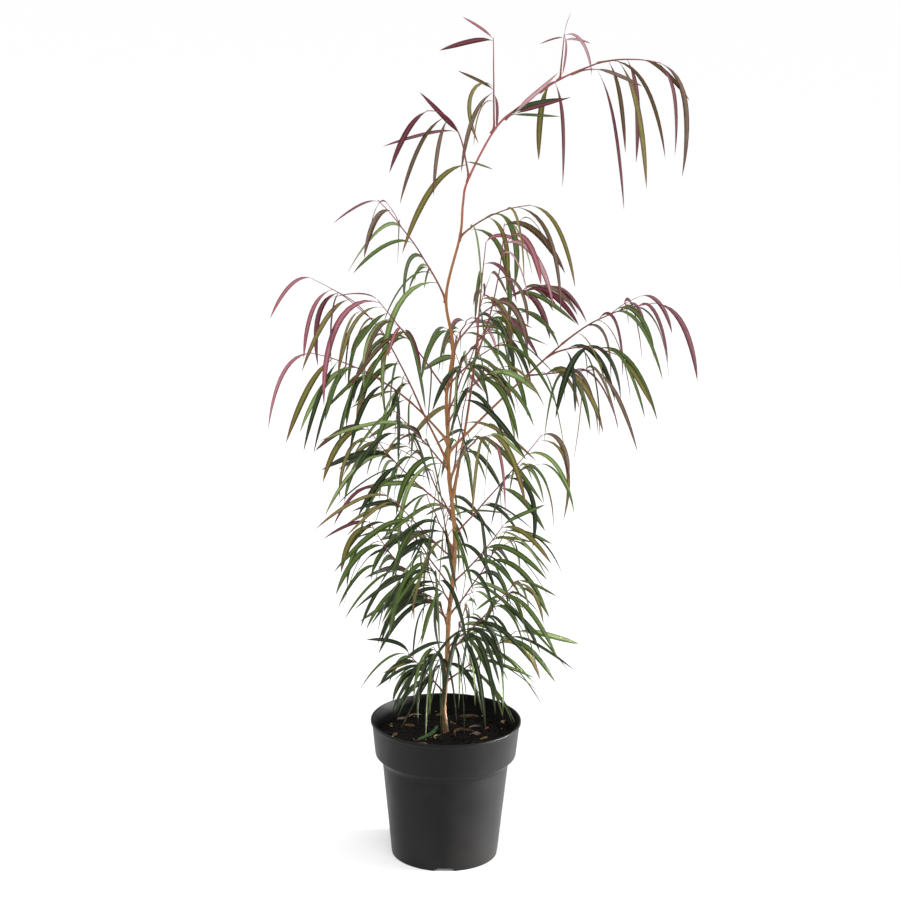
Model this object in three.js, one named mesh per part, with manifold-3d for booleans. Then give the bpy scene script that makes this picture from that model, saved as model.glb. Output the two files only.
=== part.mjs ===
// Potted burgundy willow myrtle: a slim young shrub with one kinked stem, an arching leader, long thin
// side shoots and long narrow hanging leaves, in a round nursery pot filled with potting mix.
// Millimetres, +Z up. The origin is the middle of the pot's flat underside. Azimuth 0 is the right-hand
// side (+X), 90 the back (+Y), 180 the left and 270 the front. Angles are in degrees.
import * as THREE from "three";
import { mergeVertices } from "three/addons/utils/BufferGeometryUtils.js";
import Module from "manifold-3d";

const wasm = await Module();
wasm.setup();
const { Manifold, Mesh } = wasm;

// Pot: a tapered body, a shoulder and a wide rim band over a foot ring with four notches
const POT_HEIGHT = 179;
const RIM_RADIUS = 95;
const BAND_FOOT_RADIUS = 89;
const BAND_HEIGHT = 45;
const SHOULDER_DROP = 9;
const BODY_TOP_RADIUS = 80;
const FOOT_RADIUS = 67.5;
const POT_WALL = 2;
const POT_SIDES = 36;
const FOOT_RING_WIDTH = 10;
const CENTRE_PAD_RADIUS = 18;
const RECESS_DEPTH = 6.5;
const RECESS_SLANT = 1;
const FLOOR_THICKNESS = 3;
const NOTCH_COUNT = 4;
const NOTCH_WIDTH = 29;
const NOTCH_TOP_WIDTH = 17;
const NOTCH_OVERCUT = 4;
const DRAIN_HOLES = 6;
const DRAIN_RADIUS = 5;
const DRAIN_SIDES = 10;
const BAND_FOOT = POT_HEIGHT - BAND_HEIGHT;
const BODY_TOP = BAND_FOOT - SHOULDER_DROP;
const RING_INSIDE = FOOT_RADIUS - FOOT_RING_WIDTH;
const FLOOR_TOP = RECESS_DEPTH + FLOOR_THICKNESS;

// Potting mix, a little higher in the middle than at the pot's wall
const SOIL_EDGE_HEIGHT = 159;
const SOIL_CROWN = 3;
const SOIL_FALL = { radius: 0.7, crown: 0.6 };
const SOIL_FLAT = 0.3;
const SOIL_TOP = SOIL_EDGE_HEIGHT + SOIL_CROWN;
const FIT_GAP = 0.3;

// Main stem: where it kinks, as height, and offset to the right and to the back
const STEM_KNEES = [
  [SOIL_TOP + FIT_GAP, 0, 0],
  [196, -3, 1],
  [240, 0, -1],
  [315, 2, 1],
  [365, 7, 2],
  [425, 8, 0],
  [500, 0, -2],
  [550, -2, 0],
  [600, -4, 2],
  [660, 3, 1],
  [722, -6, -1],
  [796, 10, 1],
  [835, 13, 3],
  [864, 19, 5],
  [924, 50, 8],
  [951, 79, 10],
  [983, 125, 12],
  [1004, 172, 12],
];
const STEM_FOOT_RADIUS = 3;
const STEM_TIP_RADIUS = 0.9;
const STEM_TAPER = 0.85;
const ROOT_FLARE = 1;
const ROOT_FLARE_HEIGHT = 9;
const FLARE_STEPS = [0.15, 0.5];
const STEM_SIDES = 8;

// Boughs: name, height on the stem, azimuth, rise above level at the foot and at the tip, length
const BOUGH_FOOT_RADIUS = 1.8;
const BOUGH_TIP_RADIUS = 1.4;
const BOUGH_SIDES = 6;
const BOUGH_STEPS = 6;
const BOUGHS = [
  ["side_stem", 478, 335, 79, 84, 190],
  ["right_bough", 530, 12, 46, 40, 190],
  ["left_long_bough", 545, 190, 52, 43, 62],
  ["left_rising_bough", 520, 165, 63, 61, 62],
  ["back_bough", 560, 85, 52, 30, 120],
  ["front_bough", 495, 290, 50, 28, 105],
];

// Leafy shoots. on: the limb that the shoot grows from. at: the height on it, or "tip". stem: azimuth,
// rise at the foot, rise at the tip, length. leaves: how many, and their usual length. tipLeaf: length,
// rise at the root, rise at the point, azimuth. placed: leaves that stand free, each with its place along
// the stem and then the same as the tip leaf. curl above 1 keeps the stem's bend for its tip. The other
// leaves turn to either side of leafAim, which is the stem's own azimuth unless it is given. lift and
// hang: ranges of their rise at the root and the point.
const SHOOTS = [
  { name: "leader_tip", on: "trunk", at: "tip", stem: [-8, 14, -12, 74], leaves: [7, 128],
    tint: "burgundy", tipLeaf: [148, -25, -98, 0], lift: [-30, 5], hang: [-71, -93],
    placed: [[0.95, 116, -40, -93, 350], [0.68, 78, -5, -52, 5], [0.3, 160, -52, -85, 352],
    [0.15, 112, -55, -86, 335], [0.45, 126, -60, -92, 20]] },
  { name: "leader_arch_shoot", on: "trunk", at: 993, stem: [325, 20, 0, 28], leaves: [2, 150],
    tint: "green", tipLeaf: [172, -62, -84, 2], placed: [[0.8, 62, 0, -25, 350]] },
  { name: "leader_back_shoot", on: "trunk", at: 972, stem: [60, 30, 0, 26], leaves: [2, 100],
    tint: "burgundy", tipLeaf: [128, -68, -91, 10], placed: [[0.5, 94, -60, -92, 180]] },
  { name: "leader_upright_shoot", on: "trunk", at: 984, stem: [40, 84, 84, 52], leaves: [5, 58],
    tint: "burgundy", tipLeaf: [26, 80, 72, 20], placed: [[0.95, 66, 30, -84, 350],
    [0.9, 30, 10, -25, 180], [0.8, 36, 40, -20, 20], [0.97, 48, -70, -100, 0]] },
  { name: "leader_foot_shoot", on: "trunk", at: 938, stem: [290, 22, 12, 24], leaves: [4, 65],
    tint: "burgundy", tipLeaf: [70, 22, 16, 352], leafAim: 0, lift: [20, 50], hang: [-26, 10],
    placed: [[0.9, 74, 48, 38, 5], [0.6, 60, 8, -2, 335]] },
  { name: "fork_shoot", on: "trunk", at: 924, stem: [100, 85, 82, 106], leaves: [7, 90], tint: "burgundy",
    tipLeaf: [46, 50, 29, 182], leafAim: 200, lift: [-20, 40], hang: [-62, -87],
    placed: [[0.97, 66, 12, -20, 184], [0.45, 95, 50, -118, 182], [0.42, 50, 40, 20, 176],
    [0.4, 108, -30, -84, 181], [0.38, 44, -60, -95, 350]] },

  { name: "left_high_shoot", on: "trunk", at: 868, stem: [195, 80, -10, 104], leaves: [7, 105],
    tint: "burgundy", tipLeaf: [90, -25, -72, 184], curl: 2.6, placed: [[0.12, 138, -8, -71, 190],
    [0.15, 34, 5, -22, 355], [0.5, 68, 48, 45, 184], [0.52, 92, 8, -19, 186], [0.75, 122, -30, -76, 183],
    [0.72, 96, -60, -88, 186]] },
  { name: "left_upper_shoot", on: "trunk", at: 722, stem: [160, 62, 42, 142], leaves: [6, 112],
    tint: "green", tipLeaf: [64, 5, -40, 172], placed: [[0.12, 192, 12, -96, 190]] },
  { name: "left_burgundy_shoot", on: "trunk", at: 606, stem: [200, 56, 50, 145], leaves: [8, 125],
    tint: "burgundy", tipLeaf: [62, 45, -11, 182], hang: [-56, -84], placed: [[0.96, 168, 20, -93, 182],
    [0.91, 112, 10, -83, 183], [0.85, 70, -20, -62, 184], [0.78, 108, 0, -96, 184],
    [0.6, 104, 10, -57, 184]] },
  { name: "left_long_shoot", on: "left_long_bough", at: "tip", stem: [187, 42, 13, 140],
    leaves: [13, 110], tint: "olive", tipLeaf: [119, 0, -84, 183], lift: [-15, 12], hang: [-64, -87],
    placed: [[0.8, 124, -35, -72, 183], [0.75, 124, -50, -77, 186], [0.58, 112, 0, -68, 183],
    [0.62, 121, -40, -77, 187], [0.67, 76, -50, -76, 192], [0.45, 72, -15, -50, 182],
    [0.49, 88, -50, -75, 179], [0.54, 110, -62, -80, 190], [0.05, 88, -10, -80, 195],
    [0.15, 66, 12, -34, 182], [0.28, 100, -20, -78, 188]] },
  { name: "left_rising_shoot", on: "left_rising_bough", at: "tip", stem: [171, 65, 20, 195],
    leaves: [13, 112], tint: "olive", tipLeaf: [100, -20, -87, 181], lift: [-35, 5], hang: [-65, -87],
    curl: 2.5, placed: [[0.94, 104, -15, -98, 182], [0.2, 96, -15, -84, 185], [0.34, 80, 5, -62, 180],
    [0.45, 92, -25, -80, 176]] },
  { name: "left_middle_shoot", on: "trunk", at: 453, stem: [180, 36, 55, 150], leaves: [9, 112],
    tint: "green", tipLeaf: [78, 25, -47, 182], placed: [[0.95, 97, 20, -74, 183],
    [0.86, 101, 20, -89, 184], [0.76, 92, 10, -80, 182], [0.67, 120, 15, -66, 182],
    [0.57, 84, -25, -64, 182], [0.45, 114, 15, -80, 182]] },
  { name: "left_low_shoot", on: "trunk", at: 312, stem: [178, 44, 60, 158], leaves: [9, 112],
    tint: "green", tipLeaf: [64, 15, -35, 181], placed: [[0.93, 80, 20, -84, 182],
    [0.85, 88, 15, -88, 182], [0.76, 99, 15, -71, 181], [0.52, 105, 5, -61, 185],
    [0.16, 98, 8, -60, 190]] },
  { name: "left_front_shoot", on: "trunk", at: 392, stem: [218, 42, 48, 125], leaves: [4, 114],
    tint: "olive", tipLeaf: [80, 5, -37, 215] },
  { name: "left_back_shoot", on: "trunk", at: 352, stem: [146, 44, 50, 125], leaves: [4, 112],
    tint: "green", tipLeaf: [80, 5, -37, 150] },
  { name: "left_foot_shoot", on: "trunk", at: 216, stem: [186, 52, 46, 66], leaves: [8, 78],
    tint: "green", tipLeaf: [80, 15, -53, 187], hang: [-42, -82], placed: [[0.97, 62, 70, -4, 180],
    [0.75, 46, 5, -26, 184]] },

  { name: "right_upper_shoot", on: "trunk", at: 797, stem: [340, 44, 8, 98], leaves: [8, 112],
    tint: "green", tipLeaf: [120, -8, -80, 350], hang: [-70, -94], placed: [[0.12, 156, 5, -97, 345],
    [0.82, 148, -8, -87, 342], [0.55, 100, -20, -98, 350], [0.42, 100, -15, -97, 336]] },
  { name: "right_node_shoot", on: "trunk", at: 661, stem: [30, 52, -5, 160], leaves: [8, 98],
    tint: "burgundy", tipLeaf: [65, -15, -53, 20] },
  { name: "side_stem_top", on: "side_stem", at: "tip", stem: [20, 87, 84, 125], leaves: [6, 90],
    tint: "burgundy", tipLeaf: [60, 60, -31, 60], leafAim: 40, hang: [-64, -90] },
  { name: "side_stem_shoot", on: "side_stem", at: 655, stem: [340, 70, 88, 165], leaves: [8, 98],
    tint: "burgundy", tipLeaf: [105, 30, -64, 350], leafAim: 350, hang: [-64, -90] },
  { name: "right_far_upper_shoot", on: "right_bough", at: "tip", stem: [5, 42, 5, 126], leaves: [9, 120],
    tint: "burgundy", tipLeaf: [122, -5, -81, 0], hang: [-62, -87] },
  { name: "right_far_lower_shoot", on: "right_bough", at: 648, stem: [340, 28, -20, 84], leaves: [8, 112],
    tint: "green", tipLeaf: [80, -30, -62, 345], hang: [-60, -86] },
  { name: "right_pink_shoot", on: "right_bough", at: 622, stem: [345, 10, 8, 86], leaves: [9, 124],
    tint: "burgundy", tipLeaf: [118, -35, -73, 350], hang: [-58, -86] },
  { name: "right_middle_shoot", on: "trunk", at: 425, stem: [5, 48, 52, 160], leaves: [9, 108],
    tint: "green", tipLeaf: [78, 35, -90, 358], placed: [[0.93, 128, 20, -104, 0], [0.8, 112, 25, -79, 2],
    [0.7, 108, 15, -89, 358], [0.56, 112, 15, -100, 0], [0.46, 87, 5, -61, 0], [0.27, 68, 25, -62, 0]] },
  { name: "right_low_shoot", on: "trunk", at: 362, stem: [345, 46, 58, 98], leaves: [9, 104],
    tint: "green", tipLeaf: [60, 45, 20, 0], placed: [[0.12, 192, -20, -52, 342], [0.95, 84, 20, -58, 0],
    [0.9, 70, 5, -52, 355], [0.75, 52, 25, -12, 0]] },
  { name: "right_back_shoot", on: "trunk", at: 320, stem: [28, 46, 58, 125], leaves: [4, 108],
    tint: "green", tipLeaf: [75, 0, -30, 25] },
  { name: "right_front_shoot", on: "trunk", at: 268, stem: [338, 50, 50, 140], leaves: [8, 105],
    tint: "olive", tipLeaf: [54, 10, -32, 350], placed: [[0.93, 74, 20, -82, 8],
    [0.82, 108, -15, -63, 346]] },
  { name: "right_foot_shoot", on: "trunk", at: 232, stem: [0, 38, 38, 106], leaves: [9, 108],
    tint: "green", tipLeaf: [90, 12, -24, 0], hang: [-20, -70], placed: [[0.4, 80, 12, -28, 350],
    [0.84, 94, 0, -60, 4]] },

  { name: "back_far_shoot", on: "back_bough", at: "tip", stem: [78, 30, -10, 110], leaves: [6, 112],
    tint: "burgundy", tipLeaf: [95, -15, -60, 78] },
  { name: "back_upper_shoot", on: "trunk", at: 620, stem: [38, 50, 28, 120], leaves: [5, 112],
    tint: "green", tipLeaf: [85, 10, -43, 38] },
  { name: "back_right_shoot", on: "trunk", at: 578, stem: [62, 50, 35, 145], leaves: [4, 112],
    tint: "green", tipLeaf: [90, 0, -45, 60] },
  { name: "back_middle_shoot", on: "trunk", at: 490, stem: [78, 45, 50, 150], leaves: [5, 112],
    tint: "olive", tipLeaf: [85, 5, -37, 80] },
  { name: "back_left_shoot", on: "trunk", at: 440, stem: [128, 44, 48, 145], leaves: [4, 112],
    tint: "green", tipLeaf: [80, 5, -37, 130] },
  { name: "back_low_shoot", on: "trunk", at: 385, stem: [108, 44, 50, 130], leaves: [5, 112],
    tint: "green", tipLeaf: [80, 5, -37, 108] },
  { name: "back_lower_shoot", on: "trunk", at: 300, stem: [118, 46, 50, 110], leaves: [6, 108],
    tint: "green", tipLeaf: [80, 5, -37, 118] },
  { name: "back_foot_shoot", on: "trunk", at: 252, stem: [70, 42, 45, 90], leaves: [7, 105],
    tint: "olive", tipLeaf: [85, 5, -33, 75] },

  { name: "front_far_shoot", on: "front_bough", at: "tip", stem: [285, 30, -5, 95], leaves: [6, 112],
    tint: "olive", tipLeaf: [95, -10, -59, 285] },
  { name: "front_upper_shoot", on: "trunk", at: 612, stem: [322, 50, 25, 115], leaves: [5, 108],
    tint: "green", tipLeaf: [80, 10, -43, 322] },
  { name: "front_right_shoot", on: "trunk", at: 565, stem: [305, 52, 40, 125], leaves: [5, 110],
    tint: "green", tipLeaf: [85, 0, -45, 305] },
  { name: "front_left_shoot", on: "trunk", at: 508, stem: [228, 46, 40, 130], leaves: [6, 112],
    tint: "green", tipLeaf: [85, 0, -45, 225], placed: [[0.06, 158, 20, -97, 202],
    [0.1, 152, -60, -84, 240]] },
  { name: "front_middle_shoot", on: "trunk", at: 405, stem: [246, 46, 50, 120], leaves: [6, 112],
    tint: "olive", tipLeaf: [80, 0, -42, 246] },
  { name: "front_low_shoot", on: "trunk", at: 335, stem: [248, 46, 46, 105], leaves: [8, 112],
    tint: "green", tipLeaf: [80, 0, -42, 255] },
  { name: "front_foot_shoot", on: "trunk", at: 275, stem: [300, 42, 30, 78], leaves: [10, 112],
    tint: "green", tipLeaf: [90, 0, -53, 300], hang: [-56, -86], placed: [[0.2, 122, -30, -84, 292],
    [0.5, 128, -25, -82, 312]] },
  { name: "front_left_foot_shoot", on: "trunk", at: 246, stem: [250, 50, 40, 62], leaves: [9, 102],
    tint: "green", tipLeaf: [85, 5, -50, 242], hang: [-53, -86], placed: [[0.3, 100, -35, -84, 268],
    [0.65, 112, -30, -84, 248], [0.45, 98, -40, -86, 232]] },
];
const SHOOT_FOOT_RADIUS = 1.4;
const SHOOT_TIP_RADIUS = 1.1;
const SHOOT_STEPS = 6;
const SHOOT_ZIGZAG = 5;

// Side twigs: one for each such stretch of a shoot's stem, on alternate sides. Here and below, a pair of
// values is the least and the most of a range.
const TWIG_STRETCH = 110;
const TWIG_PLACE = [0.15, 0.75];
const TWIG_TURN = [20, 45];
const TWIG_FOLLOW = 0.7;
const TWIG_LIFT = [0, 20];
const TWIG_DROOP = 20;
const TWIG_LENGTH_SHARE = [0.3, 0.45];
const TWIG_FOOT_RADIUS = 1.1;
const TWIG_TIP_RADIUS = 0.9;
const TWIG_STEPS = 2;
const TWIG_LEAVES = 3;
const TWIG_LEAF_SHARE = 0.85;
const TWIG_TIP_LEAF_SHARE = 0.7;
const TWIG_TIP_LEAF_HANG = -65;

// Leaves: long and narrow. They bend mostly near the root, and hang more or less at the point.
const LEAF_WIDTH = 8;
const LEAF_THICKNESS_SHARE = 0.012;
const LEAF_LEAST_THICKNESS = 1.1;
const LEAF_RING_SHARES = [0.24, 0.9, 0.95, 0];
const LEAF_RING_STEPS = [0, 3, 7, 12];
const LEAF_CHORDS = LEAF_RING_SHARES.length - 1;
const LEAF_CURVE_STEPS = 12;
const FIRST_BEND = { share: 0.7, place: 0.22, power: 1.4 };
const FIRST_LEAF = 0.12;
const TIP_LEAF_PLACE = 0.985;
const LEAF_SCATTER = 0.6;
const OWN_LEAF_TURN = 20;
const LEAF_SPREAD = 88;
const LEAF_LEAST_SPREAD = 0.08;
const LEAF_SPREAD_POWER = 1.35;
const LEAF_SIZE = [0.78, 1.18];
const LEAF_FOLLOW = 0.25;
const LEAF_LIFT = [0, 35];
const LEAF_HANG = [-15, -84];
const LEAF_HANG_POWER = 0.5;
const LEAF_ROLL = [38, 98];

// Room: how often a leaf is turned to find some, how far apart pieces keep, and the space over the pot
const LEAF_TRIES = 10;
const TRY_SPREAD = 0.06;
const CLEARANCE = 0.5;
const REACH_THROUGH = 0.6;
const RIM_CLEARANCE = 6;
const WALL_CLEARANCE = 12;
const SOIL_CLEARANCE = 3;
const SEAM_TOLERANCE = 0.15;

// Steps between the seeds of the random draws
const SEED_STEPS = { twig: 100, stem: 7919, leaf: 613, turn: 97, start: 11 };

const COLOURS = {
  pot: 0x3b3b3d,
  soil: 0x1d1713,
  bark: 0xa8703a,
  green: 0x4c6a33,
  olive: 0x5a6440,
  burgundy: 0x5c2a35,
};

const { clamp, degToRad, lerp } = THREE.MathUtils;
const UP = new THREE.Vector3(0, 0, 1);
const ORIGIN = new THREE.Vector3();

// A three-sided blank on a unit circle: how long its side is, and how far it is from side to corner
const BLANK_SIDE = Math.sqrt(3);
const BLANK_DEPTH = 1.5;

function finish(colour, roughness) {
  return new THREE.MeshStandardMaterial({ color: colour, roughness, metalness: 0 });
}

// Repeatable numbers from 0 to 1, by a linear congruential generator
function draws(seed, count) {
  let state = seed >>> 0;
  return Array.from({ length: count }, () => {
    state = (Math.imul(state, 1664525) + 1013904223) >>> 0;
    return ((state >>> 8) % 65536) / 65536;
  });
}

// The direction that an azimuth and a rise above level give
function heading(azimuth, rise) {
  const a = degToRad(azimuth);
  const e = degToRad(rise);
  return new THREE.Vector3(Math.cos(e) * Math.cos(a), Math.cos(e) * Math.sin(a), Math.sin(e));
}

// The level direction square to an azimuth
function sideOf(azimuth) {
  return heading(azimuth + 90, 0);
}

// A solid that shares its vertices, from a three.js geometry
function solidOf(geometry) {
  const bare = geometry.clone();
  bare.deleteAttribute("normal");
  bare.deleteAttribute("uv");
  const merged = mergeVertices(bare, 1e-4);
  const mesh = new Mesh({
    numProp: 3,
    vertProperties: new Float32Array(merged.attributes.position.array),
    triVerts: new Uint32Array(merged.index.array),
  });
  return new Manifold(mesh);
}

function geometryOf(solid) {
  const { vertProperties, triVerts } = solid.getMesh();
  const geometry = new THREE.BufferGeometry();
  geometry.setAttribute("position", new THREE.BufferAttribute(vertProperties, 3));
  geometry.setIndex(new THREE.BufferAttribute(triVerts, 1));
  geometry.computeVertexNormals();
  return geometry;
}

// A round or three-sided blank, one unit tall, led along a path: place(t, across, through) gives where
// the point goes that is t of the way up the blank and lies at (across, through) on its unit circle.
function led(blank, place) {
  const position = blank.attributes.position;
  const point = new THREE.Vector3();
  for (let i = 0; i < position.count; i++) {
    point.fromBufferAttribute(position, i);
    const moved = place(point.y + 0.5, point.x, point.z);
    position.setXYZ(i, moved.x, moved.y, moved.z);
  }
  return blank;
}

function pointOn(points, fraction) {
  const place = fraction * (points.length - 1);
  const step = Math.min(Math.floor(place), points.length - 2);
  return points[step].clone().lerp(points[step + 1], place - step);
}

function directionOn(points, index) {
  const before = points[Math.max(index - 1, 0)];
  const after = points[Math.min(index + 1, points.length - 1)];
  return after.clone().sub(before).normalize();
}

// The two axes of a limb's section, square to the way that the limb runs
function sectionAxes(side, along) {
  const depth = side.clone().addScaledVector(along, -side.dot(along)).normalize();
  return { depth, height: along.clone().cross(depth) };
}

// How far the corners of a section reach from its middle in a direction
function sectionReach({ side, sides }, along, radius, way) {
  const { depth, height } = sectionAxes(side, along);
  const angles = Array.from({ length: sides }, (corner, i) => (2 * Math.PI * i) / sides);
  const reaches = angles.map((a) => Math.cos(a) * depth.dot(way) + Math.sin(a) * height.dot(way));
  return radius * Math.max(...reaches);
}

// A limb: a tapering rod through its points, square to them, with flat ends. A footCut is the direction
// that the cut at its foot faces away from, where that isn't the limb's own.
function limbGeometry({ points, radiusAt, sides, side, footCut }) {
  const steps = points.length - 1;
  const blank = new THREE.CylinderGeometry(1, 1, 1, sides, steps);
  return led(blank, (t, across, through) => {
    const index = Math.round(t * steps);
    const along = index === 0 && footCut ? footCut : directionOn(points, index);
    const { depth, height } = sectionAxes(side, along);
    const isOnEdge = Math.hypot(across, through) > 0.5;
    const radius = isOnEdge ? radiusAt(index / steps) : 0;
    const corner = points[index].clone().addScaledVector(depth, radius * through);
    return corner.addScaledVector(height, radius * across);
  });
}

// The points of a stem that starts in one direction and ends in another
function archOf(start, [azimuth, rise, tipRise, length], steps, curl = 1, zigzag = 0) {
  const points = [start.clone()];
  for (let i = 0; i < steps; i++) {
    const share = ((i + 0.5) / steps) ** curl;
    const kink = i % 2 ? zigzag : -zigzag;
    const way = heading(azimuth + kink, lerp(rise, tipRise, share));
    points.push(points[i].clone().addScaledVector(way, length / steps));
  }
  return points;
}

// Main stem
function stemRadius(height) {
  const top = STEM_KNEES[STEM_KNEES.length - 1][0];
  const left = Math.max(0, (top - height) / (top - SOIL_TOP));
  const flare = ROOT_FLARE * Math.exp((SOIL_TOP - height) / ROOT_FLARE_HEIGHT);
  return lerp(STEM_TIP_RADIUS, STEM_FOOT_RADIUS, left ** STEM_TAPER) + flare;
}

function trunkLimb() {
  const points = STEM_KNEES.map(([height, right, back]) => new THREE.Vector3(right, back, height));
  const flareSteps = FLARE_STEPS.map((share) => points[0].clone().lerp(points[1], share));
  points.splice(1, 0, ...flareSteps);
  const radiusAt = (t) => stemRadius(points[Math.round(t * (points.length - 1))].z);
  return { name: "trunk", points, radiusAt, sides: STEM_SIDES, side: sideOf(0), footCut: UP };
}

// Where a limb passes a height, or ends: the point, its direction there and its radius
function seatOn(limb, height) {
  const last = limb.points.length - 1;
  if (height === "tip") return { point: limb.points[last], along: directionOn(limb.points, last) };
  const index = limb.points.findIndex((point, i) => i < last && limb.points[i + 1].z > height);
  const [low, high] = [limb.points[index], limb.points[index + 1]];
  const share = (height - low.z) / (high.z - low.z);
  const radius = lerp(limb.radiusAt(index / last), limb.radiusAt((index + 1) / last), share);
  return { point: low.clone().lerp(high, share), along: high.clone().sub(low).normalize(), radius };
}

// A stem moved from the origin to its seat, where its foot stands a fit gap clear of the limb it grows from
function seated(stem, limb, height) {
  const { point, along, radius } = seatOn(limb, height);
  const way = directionOn(stem.points, 0);
  const footReach = (direction) => sectionReach(stem, way, stem.radiusAt(0), direction);
  const foot = point.clone();
  if (height === "tip") {
    const back = along.clone().negate();
    foot.addScaledVector(way, (FIT_GAP + footReach(back)) / way.dot(along));
  } else {
    const out = way.clone().addScaledVector(along, -way.dot(along)).normalize();
    const back = out.clone().negate();
    foot.addScaledVector(out, sectionReach(limb, along, radius, out) + FIT_GAP + footReach(back));
  }
  return { ...stem, points: stem.points.map((corner) => corner.clone().add(foot)) };
}

function boughLimb(trunk, [name, height, ...arch]) {
  const points = archOf(ORIGIN, arch, BOUGH_STEPS);
  const radiusAt = (t) => lerp(BOUGH_FOOT_RADIUS, BOUGH_TIP_RADIUS, t);
  const bough = { name, points, radiusAt, sides: BOUGH_SIDES, side: sideOf(arch[0]) };
  return seated(bough, trunk, height);
}

// An axis is a shoot's stem or one of its side twigs, with all that steers the leaves on it
function stemAxis(limbs, shoot, seed) {
  const points = archOf(ORIGIN, shoot.stem, SHOOT_STEPS, shoot.curl, SHOOT_ZIGZAG);
  const radiusAt = (t) => lerp(SHOOT_FOOT_RADIUS, SHOOT_TIP_RADIUS, t);
  const stem = { ...shoot, seed, points, radiusAt, sides: 3, side: sideOf(shoot.stem[0]) };
  return seated(stem, limbs[shoot.on], shoot.at);
}

function riseAt({ stem: [, rise, tipRise], curl = 1 }, place) {
  return lerp(rise, tipRise, place ** curl);
}

function twigAxis(parent, index, count) {
  const seed = parent.seed + (index + 1) * SEED_STEPS.twig;
  const [place, turn, lift, size] = draws(seed * SEED_STEPS.stem, 4);
  const hand = (parent.seed + index) % 2 ? 1 : -1;
  const at = lerp(...TWIG_PLACE, (index + place) / count);
  const azimuth = (parent.leafAim ?? parent.stem[0]) + hand * lerp(...TWIG_TURN, turn);
  const rise = TWIG_FOLLOW * riseAt(parent, at) + lerp(...TWIG_LIFT, lift);
  const length = parent.stem[3] * lerp(...TWIG_LENGTH_SHARE, size);
  const stem = [azimuth, rise, rise - TWIG_DROOP, length];
  const usual = parent.leaves[1];
  const tipLeaf = [usual * TWIG_TIP_LEAF_SHARE, rise - TWIG_DROOP, TWIG_TIP_LEAF_HANG, azimuth];
  const leaves = [TWIG_LEAVES, usual * TWIG_LEAF_SHARE];
  const points = archOf(pointOn(parent.points, at), stem, TWIG_STEPS);
  const radiusAt = (t) => lerp(TWIG_FOOT_RADIUS, TWIG_TIP_RADIUS, t);
  const habit = { lift: parent.lift, hang: parent.hang };
  return { ...habit, seed, stem, leaves, tipLeaf, points, radiusAt, sides: 3, side: sideOf(azimuth) };
}

// The place and the form that a shoot sets for one of its leaves, if it does
function ownLeaf({ leaves: [count], tipLeaf, placed = [] }, index) {
  return index === count - 1 ? [TIP_LEAF_PLACE, ...tipLeaf] : placed[index];
}

// One leaf of an axis: where it is rooted, how long it is, and the vertical plane that it arches in. The
// leaves stand on alternate sides and leave the stem about level.
function drawLeaf(axis, index, attempt) {
  const { stem: SEED, leaf: LEAF, turn: TURN, start: START } = SEED_STEPS;
  const seed = axis.seed * SEED + index * LEAF + attempt * TURN + START;
  const [place, turn, size, lift, droop, twist] = draws(seed, 6);
  const [count, usual] = axis.leaves;
  const hand = index % 2 ? 1 : -1;
  const roll = hand * lerp(...LEAF_ROLL, twist);
  const own = ownLeaf(axis, index);
  if (own) {
    const [at, length, rise, hang, aim] = own;
    const azimuth = aim + OWN_LEAF_TURN * (turn - 0.5) * attempt;
    return leafOf(pointOn(axis.points, at), azimuth, rise, hang, length, roll);
  }
  const before = axis.placed?.length ?? 0;
  const at = FIRST_LEAF + ((1 - FIRST_LEAF) * (index - before + LEAF_SCATTER * place)) / (count - before);
  const opening = lerp(LEAF_LEAST_SPREAD, 1, turn ** LEAF_SPREAD_POWER);
  const spread = LEAF_SPREAD * (1 + attempt * TRY_SPREAD) * opening;
  const azimuth = (axis.leafAim ?? axis.stem[0]) + hand * spread;
  const rise = LEAF_FOLLOW * riseAt(axis, at) + lerp(...(axis.lift ?? LEAF_LIFT), lift);
  const hang = lerp(...(axis.hang ?? LEAF_HANG), droop ** LEAF_HANG_POWER);
  const length = usual * lerp(...LEAF_SIZE, size);
  return leafOf(pointOn(axis.points, at), azimuth, rise, hang, length, roll);
}

// A leaf from its root: its middle line at equal steps, which its solid follows in fewer, longer chords
function leafOf(root, azimuth, rise, hang, length, roll) {
  const curve = [root];
  for (let i = 0; i < LEAF_CURVE_STEPS; i++) {
    const share = (i + 0.5) / LEAF_CURVE_STEPS;
    const firstBend = Math.exp(-((share / FIRST_BEND.place) ** FIRST_BEND.power));
    const way = heading(azimuth, lerp(hang, rise, lerp(1 - share, firstBend, FIRST_BEND.share)));
    curve.push(curve[i].clone().addScaledVector(way, length / LEAF_CURVE_STEPS));
  }
  const points = LEAF_RING_STEPS.map((step) => curve[step]);
  const thickness = Math.max(LEAF_THICKNESS_SHARE * length, LEAF_LEAST_THICKNESS);
  return { points, side: sideOf(azimuth), roll: degToRad(roll), thickness };
}

// The directions across a leaf and through it, at one of its points
function leafFrame(leaf, index) {
  const along = directionOn(leaf.points, index);
  const over = along.clone().cross(leaf.side);
  const across = leaf.side.clone().multiplyScalar(Math.cos(leaf.roll));
  across.addScaledVector(over, Math.sin(leaf.roll));
  return { across, through: across.clone().cross(along) };
}

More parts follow.
